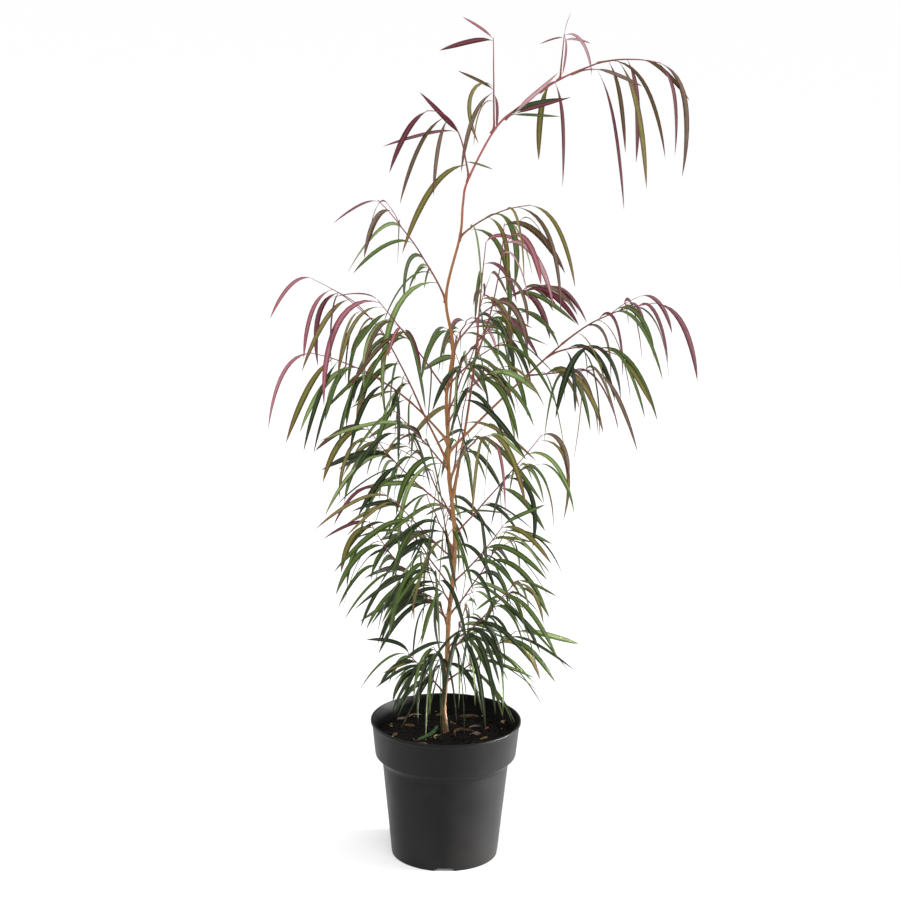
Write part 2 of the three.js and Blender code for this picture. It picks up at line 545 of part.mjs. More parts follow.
function leafGeometry(leaf) {
  const blank = new THREE.ConeGeometry(1, 1, 3, LEAF_CHORDS);
  return led(blank, (t, x, y) => {
    const index = Math.round(t * LEAF_CHORDS);
    const { across, through } = leafFrame(leaf, index);
    const isOnEdge = Math.hypot(x, y) > 0.05;
    const corner = isOnEdge ? new THREE.Vector2(x, y).normalize() : new THREE.Vector2();
    const wide = (LEAF_RING_SHARES[index] * LEAF_WIDTH) / BLANK_SIDE;
    const thick = leaf.thickness / BLANK_DEPTH;
    const edge = leaf.points[index].clone().addScaledVector(across, wide * corner.x);
    return edge.addScaledVector(through, thick * corner.y);
  });
}

// Straight stretches that stand for a limb or a leaf when room is looked for. reach(way) is how far the
// piece stands out from its middle line in a direction.
function limbStretches(limb) {
  const last = limb.points.length - 1;
  return limb.points.slice(1).map((end, i) => {
    return { start: limb.points[i], end, reach: () => limb.radiusAt(i / last) };
  });
}

function leafStretches(leaf) {
  return leaf.points.slice(1).map((end, i) => {
    const { across, through } = leafFrame(leaf, i);
    const half = (LEAF_WIDTH / 2) * Math.max(LEAF_RING_SHARES[i], LEAF_RING_SHARES[i + 1]);
    const deep = REACH_THROUGH * leaf.thickness;
    const reach = (way) => Math.abs(way.dot(across)) * half + Math.abs(way.dot(through)) * deep;
    return { start: leaf.points[i], end, reach };
  });
}

// The shortest way from one straight stretch to another
function shortestWay(one, other) {
  const u = one.end.clone().sub(one.start);
  const v = other.end.clone().sub(other.start);
  const w = one.start.clone().sub(other.start);
  const [uu, uv, vv, uw, vw] = [u.dot(u), u.dot(v), v.dot(v), u.dot(w), v.dot(w)];
  const area = uu * vv - uv * uv;
  const start = area > 1e-9 ? clamp((uv * vw - vv * uw) / area, 0, 1) : 0;
  const t = clamp((uv * start + vw) / vv, 0, 1);
  const s = clamp((uv * t - uw) / uu, 0, 1);
  return w.addScaledVector(u, s).addScaledVector(v, -t);
}

function isClear(stretches, others) {
  return stretches.every((one) =>
    others.every((other) => {
      const way = shortestWay(one, other);
      const distance = way.length();
      if (distance > 2 * LEAF_WIDTH) return true;
      way.divideScalar(Math.max(distance, 1e-9));
      return distance > one.reach(way) + other.reach(way) + CLEARANCE;
    }),
  );
}

// Foliage keeps out of the potting mix and off the pot's rim
function isAbovePot(points) {
  return points.every((point) => {
    if (point.z > POT_HEIGHT + RIM_CLEARANCE) return true;
    const isInsideRim = Math.hypot(point.x, point.y) < RIM_RADIUS - WALL_CLEARANCE;
    return isInsideRim && point.z > SOIL_TOP + SOIL_CLEARANCE;
  });
}

// A leaf that finds no room is turned a few times, and then skipped
function growLeaf(growth, axis, index, others) {
  for (let attempt = 0; attempt < LEAF_TRIES; attempt++) {
    const leaf = drawLeaf(axis, index, attempt);
    const stretches = leafStretches(leaf);
    if (!isAbovePot(leaf.points) || !isClear(stretches, others)) continue;
    growth.leaves.push(leaf);
    growth.room.push(...stretches);
    return;
  }
}

// All shoots with their side twigs and leaves. Each keeps clear of the limbs and of the other shoots, and a
// twig that finds no room is skipped. The leaves that a shoot sets come before all the others.
function growShoots(limbs) {
  const limbRoom = Object.values(limbs).flatMap(limbStretches);
  const growths = SHOOTS.map((shoot, i) => {
    const stem = stemAxis(limbs, shoot, i + 1);
    return { name: shoot.name, tint: shoot.tint, axes: [stem], leaves: [], room: limbStretches(stem) };
  });
  const roomOfOthers = (growth) => {
    const others = growths.filter((other) => other !== growth);
    return limbRoom.concat(others.flatMap((other) => other.room));
  };

  for (const growth of growths) {
    const others = roomOfOthers(growth);
    const [stem] = growth.axes;
    const count = Math.floor(stem.stem[3] / TWIG_STRETCH);
    for (let index = 0; index < count; index++) {
      const twig = twigAxis(stem, index, count);
      const stretches = limbStretches(twig);
      if (!isAbovePot(twig.points) || !isClear(stretches, others)) continue;
      growth.axes.push(twig);
      growth.room.push(...stretches);
    }
  }

  for (const isOwn of [true, false]) {
    for (const growth of growths) {
      const others = roomOfOthers(growth);
      for (const axis of growth.axes) {
        for (let index = 0; index < axis.leaves[0]; index++) {
          if (Boolean(ownLeaf(axis, index)) === isOwn) growLeaf(growth, axis, index, others);
        }
      }
    }
  }
  return growths;
}

// One solid from a stem, its twigs and its leaves: loose scraps and sealed hollows are left behind
function fused(geometries) {
  const joined = Manifold.union(geometries.map(solidOf)).asOriginal().simplify(SEAM_TOLERANCE);
  return joined.decompose().reduce((best, body) => (body.volume() > best.volume() ? body : best));
}

// Pot: its outside radius on the body and on the band
function bodyRadius(height) {
  return lerp(FOOT_RADIUS, BODY_TOP_RADIUS, height / BODY_TOP);
}

function bandRadius(height) {
  return lerp(BAND_FOOT_RADIUS, RIM_RADIUS, (height - BAND_FOOT) / BAND_HEIGHT);
}

function turned(profile) {
  const outline = profile.map(([radius, height]) => new THREE.Vector2(radius, height));
  return solidOf(new THREE.LatheGeometry(outline, POT_SIDES).rotateX(Math.PI / 2));
}

function potShell() {
  return turned([
    [0, 0],
    [CENTRE_PAD_RADIUS, 0],
    [CENTRE_PAD_RADIUS + RECESS_SLANT, RECESS_DEPTH],
    [RING_INSIDE - RECESS_SLANT, RECESS_DEPTH],
    [RING_INSIDE, 0],
    [FOOT_RADIUS, 0],
    [BODY_TOP_RADIUS, BODY_TOP],
    [BAND_FOOT_RADIUS, BAND_FOOT],
    [RIM_RADIUS, POT_HEIGHT],
    [RIM_RADIUS - POT_WALL, POT_HEIGHT],
    [bandRadius(BAND_FOOT + 1) - POT_WALL, BAND_FOOT + 1],
    [bodyRadius(BODY_TOP + 1) - POT_WALL, BODY_TOP + 1],
    [bodyRadius(FLOOR_TOP) - POT_WALL, FLOOR_TOP],
    [0, FLOOR_TOP],
  ]);
}

function footNotch(index) {
  const outline = new THREE.Shape([
    new THREE.Vector2(-NOTCH_WIDTH / 2, -1),
    new THREE.Vector2(NOTCH_WIDTH / 2, -1),
    new THREE.Vector2(NOTCH_TOP_WIDTH / 2, RECESS_DEPTH),
    new THREE.Vector2(-NOTCH_TOP_WIDTH / 2, RECESS_DEPTH),
  ]);
  const depth = FOOT_RING_WIDTH + 2 * NOTCH_OVERCUT;
  const notch = new THREE.ExtrudeGeometry(outline, { depth, bevelEnabled: false });
  notch.rotateX(Math.PI / 2);
  notch.translate(0, NOTCH_OVERCUT - RING_INSIDE, 0);
  return solidOf(notch.rotateZ((index * 2 * Math.PI) / NOTCH_COUNT));
}

function drainHole(index) {
  const hole = new THREE.CylinderGeometry(DRAIN_RADIUS, DRAIN_RADIUS, 4 * FLOOR_THICKNESS, DRAIN_SIDES);
  hole.rotateX(Math.PI / 2);
  hole.translate((CENTRE_PAD_RADIUS + RING_INSIDE) / 2, 0, RECESS_DEPTH + FLOOR_THICKNESS / 2);
  return solidOf(hole.rotateZ(((index + 0.5) * 2 * Math.PI) / DRAIN_HOLES));
}

function potSolid() {
  let pot = potShell();
  for (let i = 0; i < NOTCH_COUNT; i++) pot = pot.subtract(footNotch(i));
  for (let i = 0; i < DRAIN_HOLES; i++) pot = pot.subtract(drainHole(i));
  return pot;
}

// Potting mix: it fills the pot from its floor, and lies a little clear of its wall
function soilSolid() {
  const inset = POT_WALL + 2 * FIT_GAP;
  const floor = FLOOR_TOP + FIT_GAP;
  const edgeRadius = bandRadius(SOIL_EDGE_HEIGHT) - inset;
  return turned([
    [0, floor],
    [bodyRadius(floor) - inset, floor],
    [bodyRadius(BODY_TOP + 1) - inset, BODY_TOP + 1],
    [bandRadius(BAND_FOOT + 1) - inset, BAND_FOOT + 1 + FIT_GAP],
    [edgeRadius, SOIL_EDGE_HEIGHT],
    [edgeRadius * SOIL_FALL.radius, SOIL_EDGE_HEIGHT + SOIL_CROWN * SOIL_FALL.crown],
    [edgeRadius * SOIL_FLAT, SOIL_TOP],
    [0, SOIL_TOP],
  ]);
}

const plant = new THREE.Group();

function addMesh(name, geometry, material) {
  const mesh = new THREE.Mesh(geometry, material);
  mesh.name = name;
  plant.add(mesh);
}

addMesh("pot", geometryOf(potSolid()), finish(COLOURS.pot, 0.6));
addMesh("potting_mix", geometryOf(soilSolid()), finish(COLOURS.soil, 1));

const limbs = { trunk: trunkLimb() };
for (const row of BOUGHS) limbs[row[0]] = boughLimb(limbs.trunk, row);
for (const limb of Object.values(limbs)) {
  addMesh(limb.name, limbGeometry(limb), finish(COLOURS.bark, 0.8));
}

for (const { name, tint, axes, leaves } of growShoots(limbs)) {
  const pieces = [...axes.map(limbGeometry), ...leaves.map(leafGeometry)];
  addMesh(name, geometryOf(fused(pieces)), finish(COLOURS[tint], 0.6));
}

export default plant;
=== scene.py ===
"""Looks of a potted burgundy willow myrtle: a slim young shrub in a round nursery pot.

The plant grows here by the rule that its solids grow by, with the same seeds, and goes on to finer twigs and
more leaves within the same reach. Sizes are in millimetres and degrees until a mesh is made, which is in
metres. Azimuth 0 is the right-hand side (+X), 90 the back (+Y), 180 the left and 270 the front.
"""

import logging
import math
from collections.abc import Sequence
from dataclasses import dataclass, field
from enum import Enum

import bmesh
import bpy
import numpy as np
from mathutils import Matrix, Vector, noise


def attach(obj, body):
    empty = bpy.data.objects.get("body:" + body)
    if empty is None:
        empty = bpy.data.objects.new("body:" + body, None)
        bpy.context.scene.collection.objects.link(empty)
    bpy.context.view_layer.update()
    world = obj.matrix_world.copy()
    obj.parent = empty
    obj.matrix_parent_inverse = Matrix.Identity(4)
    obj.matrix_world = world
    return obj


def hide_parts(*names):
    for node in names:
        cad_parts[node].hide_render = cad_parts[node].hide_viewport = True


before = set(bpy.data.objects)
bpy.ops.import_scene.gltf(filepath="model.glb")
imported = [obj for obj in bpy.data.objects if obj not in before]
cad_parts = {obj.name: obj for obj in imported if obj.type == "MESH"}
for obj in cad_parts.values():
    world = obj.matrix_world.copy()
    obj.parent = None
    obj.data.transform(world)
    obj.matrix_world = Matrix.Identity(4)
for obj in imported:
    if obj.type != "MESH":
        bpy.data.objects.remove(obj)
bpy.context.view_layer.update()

LOG = logging.getLogger("plant")
MM = 0.001
UP = np.array([0.0, 0.0, 1.0])
ORIGIN = np.zeros(3)

Colour = tuple[float, float, float]
ScreenColour = tuple[int, int, int]
Pair = tuple[float, float]
Range = Pair
Arch = tuple[float, float, float, float]
PlacedLeaf = tuple[float, float, float, float, float]
Array = np.ndarray
Socket = bpy.types.NodeSocket
Material = bpy.types.Material
Piece = bpy.types.Object
Shape = bmesh.types.BMesh


def linear(red: int, green: int, blue: int) -> Colour:
    """Turn a screen colour, 0 to 255, into linear light, 0 to 1."""
    shares = [value / 255 for value in (red, green, blue)]
    return tuple(s / 12.92 if s <= 0.04045 else ((s + 0.055) / 1.055) ** 2.4 for s in shares)


def lerp(low: float, high: float, share: float) -> float:
    """Return the value that lies a share of the way from low to high."""
    return low + (high - low) * share


def draws(seed: int, count: int) -> list[float]:
    """Draw repeatable numbers, from 0 to 1, by a linear congruential generator."""
    state = int(seed) % 2**32
    numbers = []
    for _ in range(count):
        state = (state * 1664525 + 1013904223) % 2**32
        numbers.append(((state >> 8) % 65536) / 65536)
    return numbers


def heading(azimuth: float, rise: float) -> Array:
    """Return the direction that an azimuth and a rise above level give."""
    a, e = math.radians(azimuth), math.radians(rise)
    return np.array([math.cos(e) * math.cos(a), math.cos(e) * math.sin(a), math.sin(e)])


def side_of(azimuth: float) -> Array:
    """Return the level direction square to an azimuth."""
    return heading(azimuth + 90, 0)


def unit(vector: Array) -> Array:
    """Return a vector, or each row of several, at length 1."""
    return vector / np.linalg.norm(vector, axis=-1, keepdims=True)


# The plant's sizes and its shoots, as the solids have them

SOIL_EDGE_HEIGHT = 159.0
SOIL_CROWN = 3.0
SOIL_TOP = SOIL_EDGE_HEIGHT + SOIL_CROWN
FIT_GAP = 0.3
POT_HEIGHT = 179.0
RIM_RADIUS = 95.0

STEM_KNEES = (
    (SOIL_TOP + FIT_GAP, 0, 0),
    (196, -3, 1),
    (240, 0, -1),
    (315, 2, 1),
    (365, 7, 2),
    (425, 8, 0),
    (500, 0, -2),
    (550, -2, 0),
    (600, -4, 2),
    (660, 3, 1),
    (722, -6, -1),
    (796, 10, 1),
    (835, 13, 3),
    (864, 19, 5),
    (924, 50, 8),
    (951, 79, 10),
    (983, 125, 12),
    (1004, 172, 12),
)
STEM_FOOT_RADIUS = 3.0
STEM_TIP_RADIUS = 0.9
STEM_TAPER = 0.85
ROOT_FLARE = 1.0
ROOT_FLARE_HEIGHT = 9.0
FLARE_STEPS = (0.15, 0.5)
STEM_SIDES = 8

BOUGH_RADII = (1.8, 1.4)
BOUGH_SIDES = 6
BOUGH_STEPS = 6
BOUGHS = (
    ("side_stem", 478, (335, 79, 84, 190)),
    ("right_bough", 530, (12, 46, 40, 190)),
    ("left_long_bough", 545, (190, 52, 43, 62)),
    ("left_rising_bough", 520, (165, 63, 61, 62)),
    ("back_bough", 560, (85, 52, 30, 120)),
    ("front_bough", 495, (290, 50, 28, 105)),
)

SHOOT_RADII = (1.4, 1.1)
SHOOT_STEPS = 6
SHOOT_ZIGZAG = 5.0
SHOOT_SIDES = 3

BOUGH_ROOT = 12.0
SHOOT_ROOT = 11.0
ROOT_IN_TIP = 2.0
LEAST_ROOT_SHARE = 0.2

TWIG_STRETCH = 110.0
TWIG_PLACE = (0.15, 0.75)
TWIG_TURN = (20.0, 45.0)
TWIG_FOLLOW = 0.7
TWIG_LIFT = (0.0, 20.0)
TWIG_DROOP = 20.0
TWIG_LENGTH_SHARE = (0.3, 0.45)
TWIG_RADII = (1.1, 0.9)
TWIG_STEPS = 2
TWIG_LEAVES = 3
TWIG_LEAF_SHARE = 0.85
TWIG_TIP_LEAF_SHARE = 0.7
TWIG_TIP_LEAF_HANG = -65.0
TWIG_AGE = 0.35

LEAF_WIDTH = 8.0
LEAF_THICKNESS_SHARE = 0.012
LEAF_LEAST_THICKNESS = 1.1
LEAF_RING_SHARES = (0.24, 0.9, 0.95, 0.0)
LEAF_RING_STEPS = (0, 3, 7, 12)
LEAF_CHORDS = len(LEAF_RING_SHARES) - 1
LEAF_CURVE_STEPS = 12
FIRST_BEND_SHARE = 0.7
FIRST_BEND_PLACE = 0.22
FIRST_BEND_POWER = 1.4
FIRST_LEAF = 0.12
TIP_LEAF_PLACE = 0.985
LEAF_SCATTER = 0.6
OWN_LEAF_TURN = 20.0
LEAF_SPREAD = 88.0
LEAF_LEAST_SPREAD = 0.08
LEAF_SPREAD_POWER = 1.35
LEAF_SIZE = (0.78, 1.18)
LEAF_FOLLOW = 0.25
LEAF_LIFT = (0.0, 35.0)
LEAF_HANG = (-15.0, -84.0)
LEAF_HANG_POWER = 0.5
LEAF_ROLL = (38.0, 98.0)

LEAF_TRIES = 10
TRY_SPREAD = 0.06
CLEARANCE = 0.5
REACH_THROUGH = 0.6
RIM_CLEARANCE = 6.0
WALL_CLEARANCE = 12.0
SOIL_CLEARANCE = 3.0

TWIG_SEED_STEP = 100
STEM_SEED_STEP = 7919
LEAF_SEED_STEP = 613
TURN_SEED_STEP = 97
SEED_START = 11


class Spray(Enum):
    """The main colour of a shoot's leaves."""

    GREEN = "green"
    OLIVE = "olive"
    BURGUNDY = "burgundy"


@dataclass(frozen=True)
class Shoot:
    """How one leafy shoot grows.

    on is the limb that it grows from, and at the height on it, or "tip". stem is its azimuth, rise at the
    foot, rise at the tip and length; leaves how many it has and their usual length; tip_leaf a length, rise
    at the root, rise at the point and azimuth, and placed leaves a place along the stem and then the same.
    A curl above 1 keeps the stem's bend for its tip. The other leaves turn to either side of leaf_aim. lift
    and hang are ranges of their rise at root and point.
    """

    name: str
    on: str
    at: float | str
    stem: Arch
    leaves: tuple[int, float]
    spray: Spray
    tip_leaf: Arch
    placed: tuple[PlacedLeaf, ...] = ()
    lift: Range = LEAF_LIFT
    hang: Range = LEAF_HANG
    leaf_aim: float | None = None
    curl: float = 1.0


GREEN, OLIVE, BURGUNDY = Spray.GREEN, Spray.OLIVE, Spray.BURGUNDY
TRUNK = "trunk"
TIP = "tip"

SHOOTS = (
    Shoot("leader_tip", TRUNK, TIP, (-8, 14, -12, 74), (7, 128), BURGUNDY, (148, -25, -98, 0),
          placed=((0.95, 116, -40, -93, 350), (0.68, 78, -5, -52, 5), (0.3, 160, -52, -85, 352),
                  (0.15, 112, -55, -86, 335), (0.45, 126, -60, -92, 20)), lift=(-30, 5), hang=(-71, -93)),
    Shoot("leader_arch_shoot", TRUNK, 993, (325, 20, 0, 28), (2, 150), GREEN, (172, -62, -84, 2),
          placed=((0.8, 62, 0, -25, 350),)),
    Shoot("leader_back_shoot", TRUNK, 972, (60, 30, 0, 26), (2, 100), BURGUNDY, (128, -68, -91, 10),
          placed=((0.5, 94, -60, -92, 180),)),
    Shoot("leader_upright_shoot", TRUNK, 984, (40, 84, 84, 52), (5, 58), BURGUNDY, (26, 80, 72, 20),
          placed=((0.95, 66, 30, -84, 350), (0.9, 30, 10, -25, 180), (0.8, 36, 40, -20, 20),
                  (0.97, 48, -70, -100, 0))),
    Shoot("leader_foot_shoot", TRUNK, 938, (290, 22, 12, 24), (4, 65), BURGUNDY, (70, 22, 16, 352),
          placed=((0.9, 74, 48, 38, 5), (0.6, 60, 8, -2, 335)), leaf_aim=0, lift=(20, 50), hang=(-26, 10)),
    Shoot("fork_shoot", TRUNK, 924, (100, 85, 82, 106), (7, 90), BURGUNDY, (46, 50, 29, 182),
          placed=((0.97, 66, 12, -20, 184), (0.45, 95, 50, -118, 182), (0.42, 50, 40, 20, 176),
                  (0.4, 108, -30, -84, 181), (0.38, 44, -60, -95, 350)),
          leaf_aim=200, lift=(-20, 40), hang=(-62, -87)),
    Shoot("left_high_shoot", TRUNK, 868, (195, 80, -10, 104), (7, 105), BURGUNDY, (90, -25, -72, 184),
          placed=((0.12, 138, -8, -71, 190), (0.15, 34, 5, -22, 355), (0.5, 68, 48, 45, 184),
                  (0.52, 92, 8, -19, 186), (0.75, 122, -30, -76, 183), (0.72, 96, -60, -88, 186)), curl=2.6),
    Shoot("left_upper_shoot", TRUNK, 722, (160, 62, 42, 142), (6, 112), GREEN, (64, 5, -40, 172),
          placed=((0.12, 192, 12, -96, 190),)),
    Shoot("left_burgundy_shoot", TRUNK, 606, (200, 56, 50, 145), (8, 125), BURGUNDY, (62, 45, -11, 182),
          placed=((0.96, 168, 20, -93, 182), (0.91, 112, 10, -83, 183), (0.85, 70, -20, -62, 184),
                  (0.78, 108, 0, -96, 184), (0.6, 104, 10, -57, 184)), hang=(-56, -84)),
    Shoot("left_long_shoot", "left_long_bough", TIP, (187, 42, 13, 140), (13, 110), OLIVE,
          (119, 0, -84, 183),
          placed=((0.8, 124, -35, -72, 183), (0.75, 124, -50, -77, 186), (0.58, 112, 0, -68, 183),
                  (0.62, 121, -40, -77, 187), (0.67, 76, -50, -76, 192), (0.45, 72, -15, -50, 182),
                  (0.49, 88, -50, -75, 179), (0.54, 110, -62, -80, 190), (0.05, 88, -10, -80, 195),
                  (0.15, 66, 12, -34, 182), (0.28, 100, -20, -78, 188)), lift=(-15, 12), hang=(-64, -87)),
    Shoot("left_rising_shoot", "left_rising_bough", TIP, (171, 65, 20, 195), (13, 112), OLIVE,
          (100, -20, -87, 181), placed=((0.94, 104, -15, -98, 182), (0.2, 96, -15, -84, 185),
                                        (0.34, 80, 5, -62, 180), (0.45, 92, -25, -80, 176)),
          lift=(-35, 5), hang=(-65, -87), curl=2.5),
    Shoot("left_middle_shoot", TRUNK, 453, (180, 36, 55, 150), (9, 112), GREEN, (78, 25, -47, 182),
          placed=((0.95, 97, 20, -74, 183), (0.86, 101, 20, -89, 184), (0.76, 92, 10, -80, 182),
                  (0.67, 120, 15, -66, 182), (0.57, 84, -25, -64, 182), (0.45, 114, 15, -80, 182))),
    Shoot("left_low_shoot", TRUNK, 312, (178, 44, 60, 158), (9, 112), GREEN, (64, 15, -35, 181),
          placed=((0.93, 80, 20, -84, 182), (0.85, 88, 15, -88, 182), (0.76, 99, 15, -71, 181),
                  (0.52, 105, 5, -61, 185), (0.16, 98, 8, -60, 190))),
    Shoot("left_front_shoot", TRUNK, 392, (218, 42, 48, 125), (4, 114), OLIVE, (80, 5, -37, 215)),
    Shoot("left_back_shoot", TRUNK, 352, (146, 44, 50, 125), (4, 112), GREEN, (80, 5, -37, 150)),
    Shoot("left_foot_shoot", TRUNK, 216, (186, 52, 46, 66), (8, 78), GREEN, (80, 15, -53, 187),
          placed=((0.97, 62, 70, -4, 180), (0.75, 46, 5, -26, 184)), hang=(-42, -82)),
    Shoot("right_upper_shoot", TRUNK, 797, (340, 44, 8, 98), (8, 112), GREEN, (120, -8, -80, 350),
          placed=((0.12, 156, 5, -97, 345), (0.82, 148, -8, -87, 342), (0.55, 100, -20, -98, 350),
                  (0.42, 100, -15, -97, 336)), hang=(-70, -94)),
    Shoot("right_node_shoot", TRUNK, 661, (30, 52, -5, 160), (8, 98), BURGUNDY, (65, -15, -53, 20)),
    Shoot("side_stem_top", "side_stem", TIP, (20, 87, 84, 125), (6, 90), BURGUNDY, (60, 60, -31, 60),
          leaf_aim=40, hang=(-64, -90)),
    Shoot("side_stem_shoot", "side_stem", 655, (340, 70, 88, 165), (8, 98), BURGUNDY, (105, 30, -64, 350),
          leaf_aim=350, hang=(-64, -90)),
    Shoot("right_far_upper_shoot", "right_bough", TIP, (5, 42, 5, 126), (9, 120), BURGUNDY,
          (122, -5, -81, 0), hang=(-62, -87)),
    Shoot("right_far_lower_shoot", "right_bough", 648, (340, 28, -20, 84), (8, 112), GREEN,
          (80, -30, -62, 345), hang=(-60, -86)),
    Shoot("right_pink_shoot", "right_bough", 622, (345, 10, 8, 86), (9, 124), BURGUNDY,
          (118, -35, -73, 350), hang=(-58, -86)),
    Shoot("right_middle_shoot", TRUNK, 425, (5, 48, 52, 160), (9, 108), GREEN, (78, 35, -90, 358),
          placed=((0.93, 128, 20, -104, 0), (0.8, 112, 25, -79, 2), (0.7, 108, 15, -89, 358),
                  (0.56, 112, 15, -100, 0), (0.46, 87, 5, -61, 0), (0.27, 68, 25, -62, 0))),
    Shoot("right_low_shoot", TRUNK, 362, (345, 46, 58, 98), (9, 104), GREEN, (60, 45, 20, 0),
          placed=((0.12, 192, -20, -52, 342), (0.95, 84, 20, -58, 0), (0.9, 70, 5, -52, 355),
                  (0.75, 52, 25, -12, 0))),
    Shoot("right_back_shoot", TRUNK, 320, (28, 46, 58, 125), (4, 108), GREEN, (75, 0, -30, 25)),
    Shoot("right_front_shoot", TRUNK, 268, (338, 50, 50, 140), (8, 105), OLIVE, (54, 10, -32, 350),
          placed=((0.93, 74, 20, -82, 8), (0.82, 108, -15, -63, 346))),
    Shoot("right_foot_shoot", TRUNK, 232, (0, 38, 38, 106), (9, 108), GREEN, (90, 12, -24, 0),
          placed=((0.4, 80, 12, -28, 350), (0.84, 94, 0, -60, 4)), hang=(-20, -70)),
    Shoot("back_far_shoot", "back_bough", TIP, (78, 30, -10, 110), (6, 112), BURGUNDY, (95, -15, -60, 78)),
    Shoot("back_upper_shoot", TRUNK, 620, (38, 50, 28, 120), (5, 112), GREEN, (85, 10, -43, 38)),
    Shoot("back_right_shoot", TRUNK, 578, (62, 50, 35, 145), (4, 112), GREEN, (90, 0, -45, 60)),
    Shoot("back_middle_shoot", TRUNK, 490, (78, 45, 50, 150), (5, 112), OLIVE, (85, 5, -37, 80)),
    Shoot("back_left_shoot", TRUNK, 440, (128, 44, 48, 145), (4, 112), GREEN, (80, 5, -37, 130)),
    Shoot("back_low_shoot", TRUNK, 385, (108, 44, 50, 130), (5, 112), GREEN, (80, 5, -37, 108)),
    Shoot("back_lower_shoot", TRUNK, 300, (118, 46, 50, 110), (6, 108), GREEN, (80, 5, -37, 118)),
    Shoot("back_foot_shoot", TRUNK, 252, (70, 42, 45, 90), (7, 105), OLIVE, (85, 5, -33, 75)),
    Shoot("front_far_shoot", "front_bough", TIP, (285, 30, -5, 95), (6, 112), OLIVE, (95, -10, -59, 285)),
    Shoot("front_upper_shoot", TRUNK, 612, (322, 50, 25, 115), (5, 108), GREEN, (80, 10, -43, 322)),
    Shoot("front_right_shoot", TRUNK, 565, (305, 52, 40, 125), (5, 110), GREEN, (85, 0, -45, 305)),
    Shoot("front_left_shoot", TRUNK, 508, (228, 46, 40, 130), (6, 112), GREEN, (85, 0, -45, 225),
          placed=((0.06, 158, 20, -97, 202), (0.1, 152, -60, -84, 240))),
    Shoot("front_middle_shoot", TRUNK, 405, (246, 46, 50, 120), (6, 112), OLIVE, (80, 0, -42, 246)),
    Shoot("front_low_shoot", TRUNK, 335, (248, 46, 46, 105), (8, 112), GREEN, (80, 0, -42, 255)),
    Shoot("front_foot_shoot", TRUNK, 275, (300, 42, 30, 78), (10, 112), GREEN, (90, 0, -53, 300),
          placed=((0.2, 122, -30, -84, 292), (0.5, 128, -25, -82, 312)), hang=(-56, -86)),
    Shoot("front_left_foot_shoot", TRUNK, 246, (250, 50, 40, 62), (9, 102), GREEN, (85, 5, -50, 242),
          placed=((0.3, 100, -35, -84, 268), (0.65, 112, -30, -84, 248), (0.45, 98, -40, -86, 232)),
          hang=(-53, -86)),
)


# The rule of growth

def point_on(points: Array, fraction: float) -> Array:
    """Return the point that lies a fraction of the way along a line's stretches."""
    place = fraction * (len(points) - 1)
    step = min(int(place), len(points) - 2)
    return points[step] + (points[step + 1] - points[step]) * (place - step)


def direction_on(points: Array, index: int) -> Array:
    """Return a line's direction at one of its points."""
    before = points[max(index - 1, 0)]
    after = points[min(index + 1, len(points) - 1)]
    return unit(after - before)


def arch_of(start: Array, arch: Arch, steps: int, curl: float = 1, zigzag: float = 0) -> Array:
    """Lay out a stem that starts in one direction and ends in another, and return its points.

    Args:
        start: Its first point.
        arch: Its azimuth, rise at the foot, rise at the tip and length.
        steps: How many stretches it has.
        curl: Above 1, the bend is kept for the tip.
        zigzag: How far each stretch turns to the side in turn.
    """
    azimuth, rise, tip_rise, length = arch
    points = [np.array(start, float)]
    for i in range(steps):
        share = ((i + 0.5) / steps) ** curl
        kink = zigzag if i % 2 else -zigzag
        way = heading(azimuth + kink, lerp(rise, tip_rise, share))
        points.append(points[i] + way * (length / steps))
    return np.array(points)


@dataclass
class Limb:
    """A stem, bough or twig: a tapering rod through its points, with a section of a few sides."""

    name: str
    points: Array
    radii: Array
    sides: int
    side: Array

    def section_reach(self, along: Array, radius: float, way: Array) -> float:
        """Return how far the section reaches a given way, where the limb runs along and has a radius."""
        depth = unit(self.side - along * self.side.dot(along))
        height = np.cross(along, depth)
        angles = 2 * np.pi * np.arange(self.sides) / self.sides
        return radius * (np.cos(angles) * depth.dot(way) + np.sin(angles) * height.dot(way)).max()

    def seat(self, height: float | str) -> tuple[Array, Array, float]:
        """Return the point, direction and radius where the limb passes a height, or ends for "tip"."""
        if height == TIP:
            return self.points[-1], direction_on(self.points, len(self.points) - 1), self.radii[-1]
        index = next(i for i in range(len(self.points) - 1) if self.points[i + 1][2] > height)
        low, high = self.points[index], self.points[index + 1]
        share = (height - low[2]) / (high[2] - low[2])
        radius = lerp(self.radii[index], self.radii[index + 1], share)
        return low + (high - low) * share, unit(high - low), radius


@dataclass
class Axis(Limb):
    """A shoot's stem or one of its twigs, with all that steers the leaves on it."""

    seed: int
    stem: Arch
    leaves: tuple[int, float]
    tip_leaf: Arch
    placed: tuple[PlacedLeaf, ...]
    lift: Range
    hang: Range
    leaf_aim: float
    curl: float
    age: Range
    seated_on: Array | None = None

    def rise_at(self, place: float) -> float:
        """Return how steeply the stem rises at a place along it."""
        _, rise, tip_rise, _ = self.stem
        return lerp(rise, tip_rise, place**self.curl)

    def own_leaf(self, index: int) -> PlacedLeaf | None:
        """Return the place and arch that the shoot sets for one of its leaves, if it does."""
        if index == self.leaves[0] - 1:
            return TIP_LEAF_PLACE, *self.tip_leaf
        return self.placed[index] if index < len(self.placed) else None


def root_inside(stem: Limb, limb: Limb, height: float | str, depth: float) -> Array:
    """Return the point inside a limb that a stem in its seat starts from, at most a depth below the seat."""
    point, along, _ = limb.seat(height)
    if height == TIP:
        return point - along * ROOT_IN_TIP
    return point - along * depth * max(direction_on(stem.points, 0).dot(along), LEAST_ROOT_SHARE)


